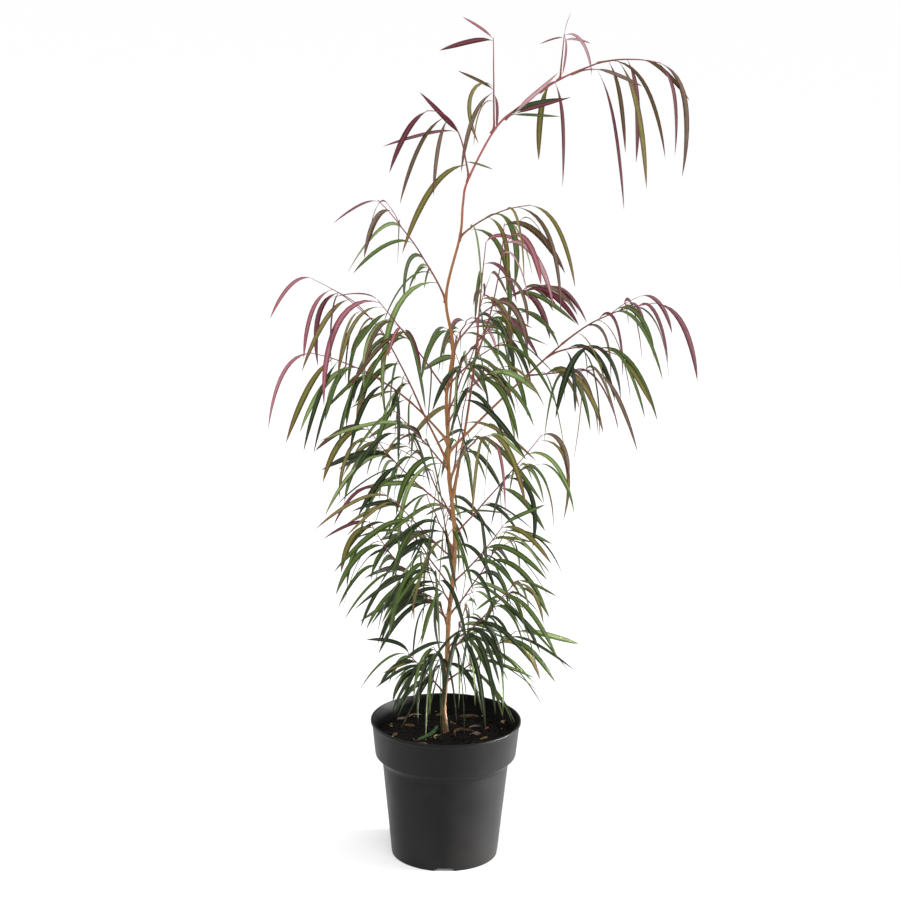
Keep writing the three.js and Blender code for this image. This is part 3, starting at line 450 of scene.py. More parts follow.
def seated(stem: Limb, limb: Limb, height: float | str) -> Limb:
    """Move a stem from the origin to its seat on a limb, a fit gap clear of it, and return it."""
    point, along, radius = limb.seat(height)
    way = direction_on(stem.points, 0)
    if height == TIP:
        gap = FIT_GAP + stem.section_reach(way, stem.radii[0], -along)
        foot = point + way * gap / way.dot(along)
    else:
        out = unit(way - along * way.dot(along))
        reach = limb.section_reach(along, radius, out)
        foot = point + out * (reach + FIT_GAP + stem.section_reach(way, stem.radii[0], -out))
    stem.points = stem.points + foot
    return stem


@dataclass
class Leaf:
    """One leaf: the vertical plane that it arches in, and how it turns about its middle line.

    own is its number among the leaves that its shoot sets, where it is one of them, with the tip leaf last.
    """

    root: Array
    azimuth: float
    rise: float
    hang: float
    length: float
    roll: float
    seed: int
    place: float
    age: float
    own: int = -1

    def way(self, share: float | Array) -> Array:
        """Return the leaf's direction, or directions, at a share of its length."""
        share = np.asarray(share)
        first_bend = np.exp(-((share / FIRST_BEND_PLACE) ** FIRST_BEND_POWER))
        rises = np.radians(lerp(self.hang, self.rise, lerp(1 - share, first_bend, FIRST_BEND_SHARE)))
        a = math.radians(self.azimuth)
        flat = np.cos(rises)
        return np.stack([flat * math.cos(a), flat * math.sin(a), np.sin(rises)], axis=-1)

    def curve(self, steps: int) -> Array:
        """Return the points of the leaf's middle line, at equal steps."""
        middles = (np.arange(steps) + 0.5) / steps
        run = np.cumsum(self.way(middles) * self.length / steps, axis=0)
        return np.vstack([self.root, self.root + run])

    def chords(self) -> Array:
        """Return the few points that stand for the leaf when room is looked for."""
        return self.curve(LEAF_CURVE_STEPS)[list(LEAF_RING_STEPS)]

    def stretches(self) -> "Room":
        """Return the straight stretches that the leaf takes up."""
        points = self.chords()
        thickness = max(LEAF_THICKNESS_SHARE * self.length, LEAF_LEAST_THICKNESS)
        side = side_of(self.azimuth)
        across_reach, through_reach = [], []
        for i in range(LEAF_CHORDS):
            along = direction_on(points, i)
            over = np.cross(along, side)
            roll = math.radians(self.roll)
            across = side * math.cos(roll) + over * math.sin(roll)
            half = LEAF_WIDTH / 2 * max(LEAF_RING_SHARES[i], LEAF_RING_SHARES[i + 1])
            across_reach.append(across * half)
            through_reach.append(np.cross(across, along) * REACH_THROUGH * thickness)
        still = np.zeros(LEAF_CHORDS)
        return Room(points[:-1], points[1:], np.array(across_reach), np.array(through_reach), still)


ROOM_PARTS = ("start", "end", "across", "through", "radius")


@dataclass
class Room:
    """Straight stretches that pieces take up: their ends, and how far they reach from their middle line."""

    start: Array = field(default_factory=lambda: np.zeros((0, 3)))
    end: Array = field(default_factory=lambda: np.zeros((0, 3)))
    across: Array = field(default_factory=lambda: np.zeros((0, 3)))
    through: Array = field(default_factory=lambda: np.zeros((0, 3)))
    radius: Array = field(default_factory=lambda: np.zeros(0))

    @classmethod
    def of_limb(cls, limb: Limb) -> "Room":
        """Return the stretches of a limb."""
        none = np.zeros((len(limb.points) - 1, 3))
        return cls(limb.points[:-1], limb.points[1:], none, none, np.asarray(limb.radii[:-1], float))

    @classmethod
    def joined(cls, rooms: Sequence["Room"]) -> "Room":
        """Return several rooms as one."""
        return cls(*(np.concatenate([getattr(room, name) for room in rooms]) for name in ROOM_PARTS))

    def near(self, other: "Room") -> "Room":
        """Return the stretches of this room that may be near another room."""
        low = np.minimum(other.start, other.end).min(axis=0) - 2 * LEAF_WIDTH
        high = np.maximum(other.start, other.end).max(axis=0) + 2 * LEAF_WIDTH
        lows, highs = np.minimum(self.start, self.end), np.maximum(self.start, self.end)
        kept = ((lows <= high) & (highs >= low)).all(axis=1)
        return Room(*(getattr(self, name)[kept] for name in ROOM_PARTS))

    def is_clear(self, others: "Room", clearance: float = CLEARANCE) -> bool:
        """Say whether each stretch here keeps clear of all the others by so many millimetres."""
        others = others.near(self)
        v = others.end - others.start
        vv = (v * v).sum(axis=1)
        for start, end, across, through, radius in zip(
            self.start, self.end, self.across, self.through, self.radius, strict=True
        ):
            u = end - start
            w = start - others.start
            uu, uv, uw, vw = u.dot(u), v @ u, w @ u, (v * w).sum(axis=1)
            area = uu * vv - uv * uv
            parallel = area <= 1e-9
            first = (uv * vw - vv * uw) / np.where(parallel, 1, area)
            first = np.where(parallel, 0, np.clip(first, 0, 1))
            t = np.clip((uv * first + vw) / vv, 0, 1)
            s = np.clip((uv * t - uw) / uu, 0, 1)
            way = w + u * s[:, None] - v * t[:, None]
            distance = np.linalg.norm(way, axis=1)
            way = way / np.maximum(distance, 1e-9)[:, None]
            mine = radius + np.abs(way @ across) + np.abs(way @ through)
            theirs = others.radius + np.abs((way * others.across).sum(axis=1))
            theirs = theirs + np.abs((way * others.through).sum(axis=1))
            near = distance <= 2 * LEAF_WIDTH
            if (near & (distance <= mine + theirs + clearance)).any():
                return False
        return True


def is_above_pot(points: Array) -> bool:
    """Say whether a line keeps out of the potting mix and off the pot's rim."""
    inside = np.hypot(points[:, 0], points[:, 1]) < RIM_RADIUS - WALL_CLEARANCE
    over_mix = inside & (points[:, 2] > SOIL_TOP + SOIL_CLEARANCE)
    return bool(((points[:, 2] > POT_HEIGHT + RIM_CLEARANCE) | over_mix).all())


@dataclass
class Growth:
    """What has grown from one shoot: its stem and twigs, its leaves and the room that they take up."""

    shoot: Shoot
    axes: list[Axis]
    leaves: list[tuple[Axis, Leaf]] = field(default_factory=list)
    room: Room = field(default_factory=Room)

    def take(self, room: Room) -> None:
        """Add to the room that the growth takes up."""
        self.room = Room.joined([self.room, room])


@dataclass(frozen=True)
class Fineness:
    """How far the shoots go on past their solids: short leafy side twigs, and more leaves low down.

    fullness says how many more leaves a shoot gets by the height of its foot, as a share of those that its
    solid has, and twiggy how many short twigs, as a share of the most: the crown's top is open.
    """

    heights: tuple[float, ...] = (240, 330, 420, 600, 800, 1000)
    fullness: tuple[float, ...] = (0.6, 0.4, 0.1, 0.0, 0.0, 0.0)
    twiggy: tuple[float, ...] = (0.45, 0.45, 0.3, 0.3, 0.1, 0.0)
    leaf_size: Range = (0.7, 1.1)
    twig_stretch: float = 34.0
    twig_length_share: Range = (0.08, 0.2)
    twig_leaves: int = 2
    twig_leaf_share: float = 0.5
    tries: int = 6
    clearance: float = 0.25
    first_index: int = 40
    first_twig: int = 20


class Shrub:
    """The plant's limbs and shoots, grown by the rule that its solids grow by."""

    def __init__(self, fineness: Fineness) -> None:
        """Grow the plant, as its solids have it and then to finer twigs."""
        self.fineness = fineness
        self.limbs: dict[str, Limb] = {TRUNK: self.trunk_limb()}
        for name, height, arch in BOUGHS:
            self.limbs[name] = self.bough_limb(name, height, arch)
        self.limb_room = Room.joined([Room.of_limb(limb) for limb in self.limbs.values()])
        self.growths = [self.sprout(shoot, i + 1) for i, shoot in enumerate(SHOOTS)]
        self.grow_twigs()
        self.grow_leaves()
        self.solid_leaves = sum(len(growth.leaves) for growth in self.growths)
        self.refine()

    @staticmethod
    def stem_radius(height: float) -> float:
        """Return the main stem's radius at a height."""
        left = max(0.0, (STEM_KNEES[-1][0] - height) / (STEM_KNEES[-1][0] - SOIL_TOP))
        flare = ROOT_FLARE * math.exp((SOIL_TOP - height) / ROOT_FLARE_HEIGHT)
        return lerp(STEM_TIP_RADIUS, STEM_FOOT_RADIUS, left**STEM_TAPER) + flare

    def trunk_limb(self) -> Limb:
        """Return the main stem."""
        knees = [np.array([right, back, height], float) for height, right, back in STEM_KNEES]
        foot, first = knees[:2]
        knees[1:1] = [foot + (first - foot) * share for share in FLARE_STEPS]
        points = np.array(knees)
        radii = np.array([self.stem_radius(point[2]) for point in points])
        return Limb(TRUNK, points, radii, STEM_SIDES, side_of(0))

    def bough_limb(self, name: str, height: float, arch: Arch) -> Limb:
        """Return one bough, seated on the main stem."""
        points = arch_of(ORIGIN, arch, BOUGH_STEPS)
        radii = np.linspace(*BOUGH_RADII, len(points))
        return seated(Limb(name, points, radii, BOUGH_SIDES, side_of(arch[0])), self.limbs[TRUNK], height)

    def sprout(self, shoot: Shoot, seed: int) -> Growth:
        """Return a shoot's growth, with only its stem."""
        points = arch_of(ORIGIN, shoot.stem, SHOOT_STEPS, shoot.curl, SHOOT_ZIGZAG)
        radii = np.linspace(*SHOOT_RADII, len(points))
        aim = shoot.stem[0] if shoot.leaf_aim is None else shoot.leaf_aim
        stem = Axis(shoot.name, points, radii, SHOOT_SIDES, side_of(shoot.stem[0]), seed, shoot.stem,
                    shoot.leaves, shoot.tip_leaf, shoot.placed, shoot.lift, shoot.hang, aim, shoot.curl,
                    (0, 1))
        limb = self.limbs[shoot.on]
        stem = seated(stem, limb, shoot.at)
        stem.seated_on = root_inside(stem, limb, shoot.at, SHOOT_ROOT)
        return Growth(shoot, [stem], room=Room.of_limb(stem))

    @staticmethod
    def twig_axis(parent: Axis, index: int, count: int, length_share: Range, leaf_share: float) -> Axis:
        """Draw one side twig and return it.

        Args:
            parent: The stem that it grows from.
            index: Which twig it is.
            count: How many twigs the stem has.
            length_share: The range of its length, as a share of the stem's.
            leaf_share: Its leaves' length, as a share of the stem's leaves'.
        """
        seed = parent.seed + (index + 1) * TWIG_SEED_STEP
        place, turn, lift, size = draws(seed * STEM_SEED_STEP, 4)
        hand = 1 if (parent.seed + index) % 2 else -1
        at = lerp(*TWIG_PLACE, (index % max(count, 1) + place) / count)
        azimuth = parent.leaf_aim + hand * lerp(*TWIG_TURN, turn)
        rise = TWIG_FOLLOW * parent.rise_at(at) + lerp(*TWIG_LIFT, lift)
        length = parent.stem[3] * lerp(*length_share, size)
        stem = (azimuth, rise, rise - TWIG_DROOP, length)
        usual = parent.leaves[1]
        tip_share = TWIG_TIP_LEAF_SHARE * leaf_share / TWIG_LEAF_SHARE
        tip_leaf = (usual * tip_share, rise - TWIG_DROOP, TWIG_TIP_LEAF_HANG, azimuth)
        points = arch_of(point_on(parent.points, at), stem, TWIG_STEPS)
        radii = np.linspace(*TWIG_RADII, len(points))
        age = lerp(*parent.age, at)
        return Axis(parent.name, points, radii, SHOOT_SIDES, side_of(azimuth), seed, stem,
                    (TWIG_LEAVES, usual * leaf_share), tip_leaf, (), parent.lift, parent.hang, azimuth,
                    1.0, (age, min(1.0, age + TWIG_AGE)))

    @staticmethod
    def draw_leaf(axis: Axis, index: int, attempt: int, order: tuple[int, int] | None,
                  size_range: Range) -> Leaf:
        """Draw one leaf of an axis and return it.

        Args:
            axis: The stem or twig that carries it.
            index: Which leaf it is, which also picks its seed and its side.
            attempt: How often it was turned already to find room.
            order: Its number and the count of the leaves that it is spread with, where it is a further one.
            size_range: The range of its length, as a share of the usual one.
        """
        seed = axis.seed * STEM_SEED_STEP + index * LEAF_SEED_STEP + attempt * TURN_SEED_STEP + SEED_START
        place, turn, size, lift, droop, twist = draws(seed, 6)
        count, usual = axis.leaves
        hand = 1 if index % 2 else -1
        roll = hand * lerp(*LEAF_ROLL, twist)
        own = axis.own_leaf(index) if order is None else None
        if own:
            at, length, rise, hang, aim = own
            azimuth = aim + OWN_LEAF_TURN * (turn - 0.5) * attempt
            root = point_on(axis.points, at)
            number = min(index, len(axis.placed))
            return Leaf(root, azimuth, rise, hang, length, roll, seed, at, lerp(*axis.age, at), number)
        number, total = order or (index - len(axis.placed), count - len(axis.placed))
        at = FIRST_LEAF + ((1 - FIRST_LEAF) * (number + LEAF_SCATTER * place)) / total
        spread = LEAF_SPREAD * (1 + attempt * TRY_SPREAD)
        azimuth = axis.leaf_aim + hand * spread * lerp(LEAF_LEAST_SPREAD, 1, turn**LEAF_SPREAD_POWER)
        rise = LEAF_FOLLOW * axis.rise_at(at) + lerp(*axis.lift, lift)
        hang = lerp(*axis.hang, droop**LEAF_HANG_POWER)
        length = usual * lerp(*size_range, size)
        root = point_on(axis.points, at)
        return Leaf(root, azimuth, rise, hang, length, roll, seed, at, lerp(*axis.age, at))

    def room_of_others(self, growth: Growth) -> Room:
        """Return the room that the limbs and all other shoots take up."""
        others = [other.room for other in self.growths if other is not growth]
        return Room.joined([self.limb_room, *others])

    def add_twig(self, growth: Growth, twig: Axis, others: Room, clearance: float = CLEARANCE) -> None:
        """Add a twig to a growth, if it finds room."""
        room = Room.of_limb(twig)
        if is_above_pot(twig.points) and room.is_clear(others, clearance):
            growth.axes.append(twig)
            growth.take(room)

    def grow_twigs(self) -> None:
        """Add the side twigs that the solids have."""
        for growth in self.growths:
            others = self.room_of_others(growth)
            stem = growth.axes[0]
            count = int(stem.stem[3] // TWIG_STRETCH)
            for index in range(count):
                twig = self.twig_axis(stem, index, count, TWIG_LENGTH_SHARE, TWIG_LEAF_SHARE)
                twig.leaf_aim = twig.stem[0]
                self.add_twig(growth, twig, others)

    def grow_leaves(self) -> None:
        """Add the leaves that the solids have: first those that are set, then the others."""
        for is_own in (True, False):
            for growth in self.growths:
                others = self.room_of_others(growth)
                for axis in growth.axes:
                    for index in range(axis.leaves[0]):
                        if bool(axis.own_leaf(index)) == is_own:
                            self.add_leaf(growth, axis, index, others)

    def refine(self) -> None:
        """Go on to finer twigs and more leaves, within the shoots' reach."""
        fine = self.fineness
        for growth in self.growths:
            others = self.room_of_others(growth)
            stem = growth.axes[0]
            foot = stem.points[0][2]
            fullness = float(np.interp(foot, fine.heights, fine.fullness))
            twiggy = float(np.interp(foot, fine.heights, fine.twiggy))
            count = round(stem.stem[3] / fine.twig_stretch * twiggy)
            solid_axes = list(growth.axes)
            for index in range(fine.first_twig, fine.first_twig + count):
                twig = self.twig_axis(stem, index, count, fine.twig_length_share, fine.twig_leaf_share)
                self.add_twig(growth, twig, others, fine.clearance)
            fine_axes = growth.axes[len(solid_axes):]
            for axis in solid_axes:
                self.add_fine_leaves(growth, axis, round(axis.leaves[0] * fullness), others)
            for axis in fine_axes:
                self.add_fine_leaves(growth, axis, fine.twig_leaves, others)
                self.add_leaf(growth, axis, axis.leaves[0] - 1, others, is_fine=True)

    def add_fine_leaves(self, growth: Growth, axis: Axis, total: int, others: Room) -> None:
        """Add further leaves, evenly spread along a stem or twig."""
        for number in range(total):
            self.add_leaf(growth, axis, self.fineness.first_index + number, others, (number, total), True)

    def add_leaf(self, growth: Growth, axis: Axis, index: int, others: Room,
                 order: tuple[int, int] | None = None, is_fine: bool = False) -> None:
        """Add one leaf that the solids have, or a further one, if it finds room."""
        tries, sizes, clearance = LEAF_TRIES, LEAF_SIZE, CLEARANCE
        if is_fine:
            tries, sizes, clearance = self.fineness.tries, self.fineness.leaf_size, self.fineness.clearance
        for attempt in range(tries):
            leaf = self.draw_leaf(axis, index, attempt, order, sizes)
            room = leaf.stretches()
            if is_above_pot(leaf.chords()) and room.is_clear(others, clearance):
                growth.leaves.append((axis, leaf))
                growth.take(room)
                return


# Meshes

def spline(points: Array, places: Array) -> Array:
    """Read a smooth curve through points, at places from 0 to 1 that count its stretches evenly."""
    padded = np.vstack([2 * points[0] - points[1], points, 2 * points[-1] - points[-2]])
    spans = np.asarray(places) * (len(points) - 1)
    index = np.minimum(spans.astype(int), len(points) - 2)
    t = (spans - index)[:, None]
    a, b, c, d = (padded[index + k] for k in range(4))
    return 0.5 * (2 * b + (c - a) * t + (2 * a - 5 * b + 4 * c - d) * t**2 + (3 * b - a - 3 * c + d) * t**3)


def frames_along(points: Array, side: Array) -> tuple[Array, Array, Array]:
    """Return a curve's directions, and two axes square to each that don't twist round it."""
    ways = unit(np.gradient(points, axis=0))
    first = np.zeros_like(ways)
    depth = unit(side - ways[0] * side.dot(ways[0]))
    for i, way in enumerate(ways):
        depth = unit(depth - way * depth.dot(way))
        first[i] = depth
    return ways, first, np.cross(ways, first)


def linked(name: str, data: bpy.types.ID) -> Piece:
    """Return a new object in the scene that shows a mesh, a lamp or a camera."""
    made = bpy.data.objects.new(name, data)
    bpy.context.scene.collection.objects.link(made)
    return made


def round_angles(count: int) -> Array:
    """Return evenly spaced angles of a full turn, in radians."""
    return np.linspace(0, math.tau, count, endpoint=False)


class MeshBatch:
    """Many rings of points, joined into closed pieces and collected in one mesh."""

    def __init__(self) -> None:
        """Start with nothing."""
        self.points: list[Array] = []
        self.faces: list[tuple[int, ...]] = []
        self.slots: list[int] = []
        self.maps: list[Array] = []
        self.ages: list[Array] = []
        self.ridges: list[tuple[int, int]] = []
        self.count = 0

    def add(self, rings: Array, across: Array, along: Array, age: Array,
            slots: Sequence[int], ridges: Sequence[int] = ()) -> None:
        """Add a closed piece that is swept through rings of points.

        Args:
            rings: The rings, as (rings, points, 3), in millimetres.
            across: Each ring point's place across the pattern.
            along: Each ring's place along the pattern.
            age: Each ring's age, 0 for old wood and 1 for the youngest.
            slots: The material slot of each face round the ring.
            ridges: The ring points that a sharp edge runs along.
        """
        total, sides, _ = rings.shape
        start = self.count
        self.points.append(rings.reshape(-1, 3) * MM)
        grid = np.stack(np.broadcast_arrays(across[None, :], along[:, None]), axis=-1)
        self.maps.append(grid.reshape(-1, 2))
        self.ages.append(np.repeat(age, sides))
        for ring in range(total - 1):
            low, high = start + ring * sides, start + (ring + 1) * sides
            for k in range(sides):
                after = (k + 1) % sides
                self.faces.append((low + k, low + after, high + after, high + k))
                self.slots.append(slots[k])
            self.ridges.extend((low + k, high + k) for k in ridges)
        last = start + (total - 1) * sides
        self.faces.append(tuple(range(start + sides - 1, start - 1, -1)))
        self.faces.append(tuple(range(last, last + sides)))
        self.slots.extend((slots[0], slots[0]))
        self.count += total * sides

    def build(self, name: str, materials: Sequence[Material]) -> Piece:
        """Make the mesh and its object, with its materials in the order of their slots."""
        mesh = bpy.data.meshes.new(name)
        points = np.concatenate(self.points)
        mesh.from_pydata(points.tolist(), [], self.faces)
        mesh.polygons.foreach_set("use_smooth", np.ones(len(self.faces), bool))
        mesh.polygons.foreach_set("material_index", np.array(self.slots, np.int32))
        corners = np.zeros(len(mesh.loops), np.int32)
        mesh.loops.foreach_get("vertex_index", corners)
        layer = mesh.uv_layers.new(name="surface")
        layer.data.foreach_set("uv", np.concatenate(self.maps)[corners].astype(np.float32).ravel())
        age = mesh.attributes.new("age", "FLOAT", "POINT")
        age.data.foreach_set("value", np.concatenate(self.ages).astype(np.float32))
        self.mark_ridges(mesh)
        for material in materials:
            mesh.materials.append(material)
        mesh.update()
        return linked(name, mesh)

    def mark_ridges(self, mesh: bpy.types.Mesh) -> None:
        """Mark the ridges' edges as sharp."""
        if not self.ridges:
            return
        ends = np.zeros(len(mesh.edges) * 2, np.int32)
        mesh.edges.foreach_get("vertices", ends)
        ends = np.sort(ends.reshape(-1, 2), axis=1)
        wanted = np.sort(np.array(self.ridges), axis=1)
        keys = ends[:, 0].astype(np.int64) * self.count + ends[:, 1]
        sharp = np.isin(keys, wanted[:, 0].astype(np.int64) * self.count + wanted[:, 1])
        attribute = mesh.attributes.new("sharp_edge", "BOOLEAN", "EDGE")
        attribute.data.foreach_set("value", sharp)


def object_of(shape: Shape, name: str, smooth: bool = True) -> Piece:
    """Turn a bmesh, in metres, into an object in the scene, and free it."""
    for face in shape.faces:
        face.smooth = smooth
    mesh = bpy.data.meshes.new(name)
    shape.to_mesh(mesh)
    shape.free()
    return linked(name, mesh)


def sharpen(shape: Shape, angle: float) -> None:
    """Mark the edges that turn by more than an angle as sharp."""
    for edge in shape.edges:
        if len(edge.link_faces) == 2 and edge.calc_face_angle(0) > math.radians(angle):
            edge.smooth = False


def spun(profile: Sequence[Pair], steps: int) -> Shape:
    """Turn a profile of radii and heights, from the axis and back to it, into a closed shell."""
    shape = bmesh.new()
    points = [shape.verts.new((radius * MM, 0, height * MM)) for radius, height in profile]
    edges = [shape.edges.new(pair) for pair in zip(points, points[1:], strict=False)]
    bmesh.ops.spin(shape, geom=points + edges, cent=(0, 0, 0), axis=(0, 0, 1), angle=math.tau,
                   steps=steps, use_merge=True)
    bmesh.ops.remove_doubles(shape, verts=shape.verts, dist=1e-6)
    bmesh.ops.recalc_face_normals(shape, faces=shape.faces)
    return shape


def dress(piece: Piece, nodes: Sequence[str] = ()) -> None:
    """Ride a piece on the plant's body and say which solids it stands for."""
    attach(piece, "root")
    if nodes:
        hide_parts(*nodes)
    LOG.info("%s: %d faces, stands for %d solids", piece.name, len(piece.data.polygons), len(nodes))


# Finishes

class Graph:
    """A material's nodes, with short calls to add and join them."""

    def __init__(self, name: str) -> None:
        """Start a material with its one shader."""
        self.material = bpy.data.materials.new(name)
        self.material.use_nodes = True
        self.tree = self.material.node_tree
        self.shader = self.tree.nodes["Principled BSDF"]

    def set(self, **values: float | Colour) -> None:
        """Set sockets of the shader: roughness=0.5 sets Roughness."""
        for name, value in values.items():
            socket = self.shader.inputs[name.replace("_", " ").title().replace("Ior", "IOR")]
            socket.default_value = (*value, 1.0) if isinstance(value, tuple) else value

    def add(self, kind: str, inputs: dict | None = None, **settings: object) -> bpy.types.Node:
        """Add a node and return it.

        Args:
            kind: The node's type.
            inputs: Values or outputs for its inputs, by name or number.
            settings: The node's own settings.
        """
        node = self.tree.nodes.new(kind)
        for name, value in settings.items():
            setattr(node, name, value)
        for key, value in (inputs or {}).items():
            if isinstance(value, Socket):
                self.tree.links.new(value, node.inputs[key])
            else:
                node.inputs[key].default_value = value
        return node

    def place(self, scale: Sequence[float] = (1, 1, 1)) -> Socket:
        """Return the piece's own coordinates, stretched by a scale."""
        coordinates = self.add("ShaderNodeTexCoord")
        mapping = self.add("ShaderNodeMapping", {"Vector": coordinates.outputs["Object"], "Scale": scale})
        return mapping.outputs["Vector"]

    def height(self) -> Socket:
        """Return how high a place of the piece lies, in metres."""
        return self.add("ShaderNodeSeparateXYZ", {"Vector": self.place()}).outputs["Z"]

    def noise(self, where: Socket, scale: float, detail: float = 3, roughness: float = 0.55) -> Socket:
        """Return a soft noise, 0 to 1."""
        values = {"Vector": where, "Scale": scale, "Detail": detail, "Roughness": roughness}
        return self.add("ShaderNodeTexNoise", values).outputs["Fac"]

    def ramp(self, value: Socket, stops: Sequence[tuple[float, Colour]]) -> Socket:
        """Return colours that a value picks between stops."""
        node = self.add("ShaderNodeValToRGB", {"Fac": value})
        elements = node.color_ramp.elements
        while len(elements) < len(stops):
            elements.new(0.5)
        for element, (position, colour) in zip(elements, stops, strict=True):
            element.position = position
            element.color = (*colour, 1)
        return node.outputs["Color"]

    def span(self, value: Socket, low: float, high: float, to_low: float = 0, to_high: float = 1) -> Socket:
        """Return a value moved smoothly from one span to another."""
        values = {"Value": value, "From Min": low, "From Max": high, "To Min": to_low, "To Max": to_high}
        node = self.add("ShaderNodeMapRange", values, interpolation_type="SMOOTHSTEP")
        return node.outputs["Result"]

    def math(self, operation: str, first: Socket, second: Socket | float = 0.0) -> Socket:
        """Return the result of one sum."""
        return self.add("ShaderNodeMath", {0: first, 1: second}, operation=operation).outputs[0]

    def mix(self, share: Socket, first: Socket | Colour, second: Socket | Colour) -> Socket:
        """Return two colours mixed by a share."""
        node = self.add("ShaderNodeMix", {"Factor": share}, data_type="RGBA")
        for key, colour in ((6, first), (7, second)):
            if isinstance(colour, Socket):
                self.tree.links.new(colour, node.inputs[key])
            else:
                node.inputs[key].default_value = (*colour, 1)
        return node.outputs[2]

    def attribute(self, name: str) -> Socket:
        """Return a value that the mesh holds."""
        return self.add("ShaderNodeAttribute", attribute_name=name).outputs["Fac"]

    def surface_map(self) -> tuple[Socket, Socket]:
        """Return the places across and along the piece's own map."""
        where = self.add("ShaderNodeUVMap", uv_map="surface").outputs["UV"]
        parts = self.add("ShaderNodeSeparateXYZ", {"Vector": where})
        return parts.outputs["X"], parts.outputs["Y"]

    def colour(self, colour: Socket) -> None:
        """Give the shader its colour."""
        self.tree.links.new(colour, self.shader.inputs["Base Color"])

    def roughen(self, value: Socket) -> None:
        """Give the shader its roughness."""
        self.tree.links.new(value, self.shader.inputs["Roughness"])

    def bump(self, height: Socket, depth: float, strength: float = 1.0) -> None:
        """Raise the surface by a height, at most depth millimetres."""
        values = {"Height": height, "Strength": strength, "Distance": depth * MM}
        node = self.add("ShaderNodeBump", values)
        self.tree.links.new(node.outputs["Normal"], self.shader.inputs["Normal"])


@dataclass(frozen=True)
class LeafFinish:
    """One kind of leaf: its slot in the record, which is not used, and its colours as a screen shows them.
    """

    name: str
    slot: str
    face: ScreenColour
    back: ScreenColour
    point: ScreenColour
    rib: ScreenColour

    def side(self, base: ScreenColour, label: str, roughness: float) -> Material:
        """Make the material of one side from its plain colour, its name and how matt it is."""
        graph = Graph(f"{self.name}_{label}")
        point = linear(*self.point)
        across, along = graph.surface_map()
        speckle = graph.noise(graph.place(), 160, 4)
        body = graph.mix(graph.span(speckle, 0.35, 0.75, 0, 0.35), linear(*base), point)
        pointed = graph.mix(graph.span(along, 0.6, 1.0, 0, 0.75), body, point)
        from_middle = graph.math("ABSOLUTE", graph.math("SUBTRACT", across, 0.5))
        edged = graph.mix(graph.span(from_middle, 0.2, 0.42, 0, 0.7), pointed, point)
        rib = graph.span(from_middle, 0.05, 0.13, 0.55, 0)
        ribbed = graph.mix(rib, edged, linear(*self.rib))
        foot = graph.span(along, 0.0, 0.06, 0.8, 0)
        graph.colour(graph.mix(foot, ribbed, PETIOLE_RED))
        veins = graph.math("SINE", graph.math("MULTIPLY", across, 44))
        graph.bump(veins, 0.05, 0.5)
        graph.roughen(graph.span(speckle, 0.3, 0.7, roughness, roughness + 0.12))
        graph.set(specular_ior_level=0.3)
        return graph.material

    def materials(self) -> list[Material]:
        """Make the materials of the upper and the under side."""
        return [self.side(self.face, "face", 0.4), self.side(self.back, "back", 0.58)]


PETIOLE_RED = linear(122, 52, 52)


class Tint(Enum):
    """The kinds of leaf, from the oldest to the youngest."""

    DEEP = LeafFinish(
        "deep_green_leaves", "green_foliage", (31, 44, 14), (48, 66, 30), (40, 46, 23), (58, 76, 38)
    )
    GREEN = LeafFinish(
        "green_leaves", "green_foliage", (62, 86, 24), (84, 106, 50), (72, 80, 34), (96, 118, 56)
    )
    SAGE = LeafFinish(
        "sage_leaves", "green_foliage", (114, 140, 72), (140, 160, 104), (118, 122, 76), (152, 172, 118)
    )
    OLIVE = LeafFinish(
        "olive_leaves", "olive_foliage", (92, 100, 30), (122, 120, 66), (122, 68, 56), (128, 134, 60)
    )
    BRONZE = LeafFinish(
        "bronze_leaves", "olive_foliage", (74, 66, 32), (118, 102, 84), (98, 42, 48), (108, 88, 50)
    )
    BURGUNDY = LeafFinish(
        "burgundy_leaves", "burgundy_foliage", (84, 30, 40), (132, 88, 94), (96, 34, 46), (126, 66, 74)
    )
    PINK = LeafFinish(
        "rose_leaves", "burgundy_foliage", (144, 88, 97), (186, 158, 162), (156, 72, 88), (188, 130, 138)
    )


@dataclass(frozen=True)
class Palette:
    """How the kinds of leaf are dealt out along a spray, by age: shares of each kind up to an age."""

    stages: tuple[tuple[float, dict[Tint, float]], ...]

    def pick(self, age: float, chance: float) -> Tint:
        """Return the kind of leaf that a chance from 0 to 1 picks at an age."""
        shares = next(shares for limit, shares in self.stages if age <= limit)
        total = 0.0
        for tint, share in shares.items():
            total += share
            if chance <= total:
                return tint
        return next(reversed(shares))


def mixed(**parts: float) -> dict[Tint, float]:
    """Return how much of each kind of leaf there is: mixed(green=0.6, sage=0.4)."""
    return {Tint[name.upper()]: share for name, share in parts.items()}


def tints(names: str) -> tuple[Tint, ...]:
    """Return the kinds of leaf that a row of names gives."""
    return tuple(Tint[name.upper()] for name in names.split())


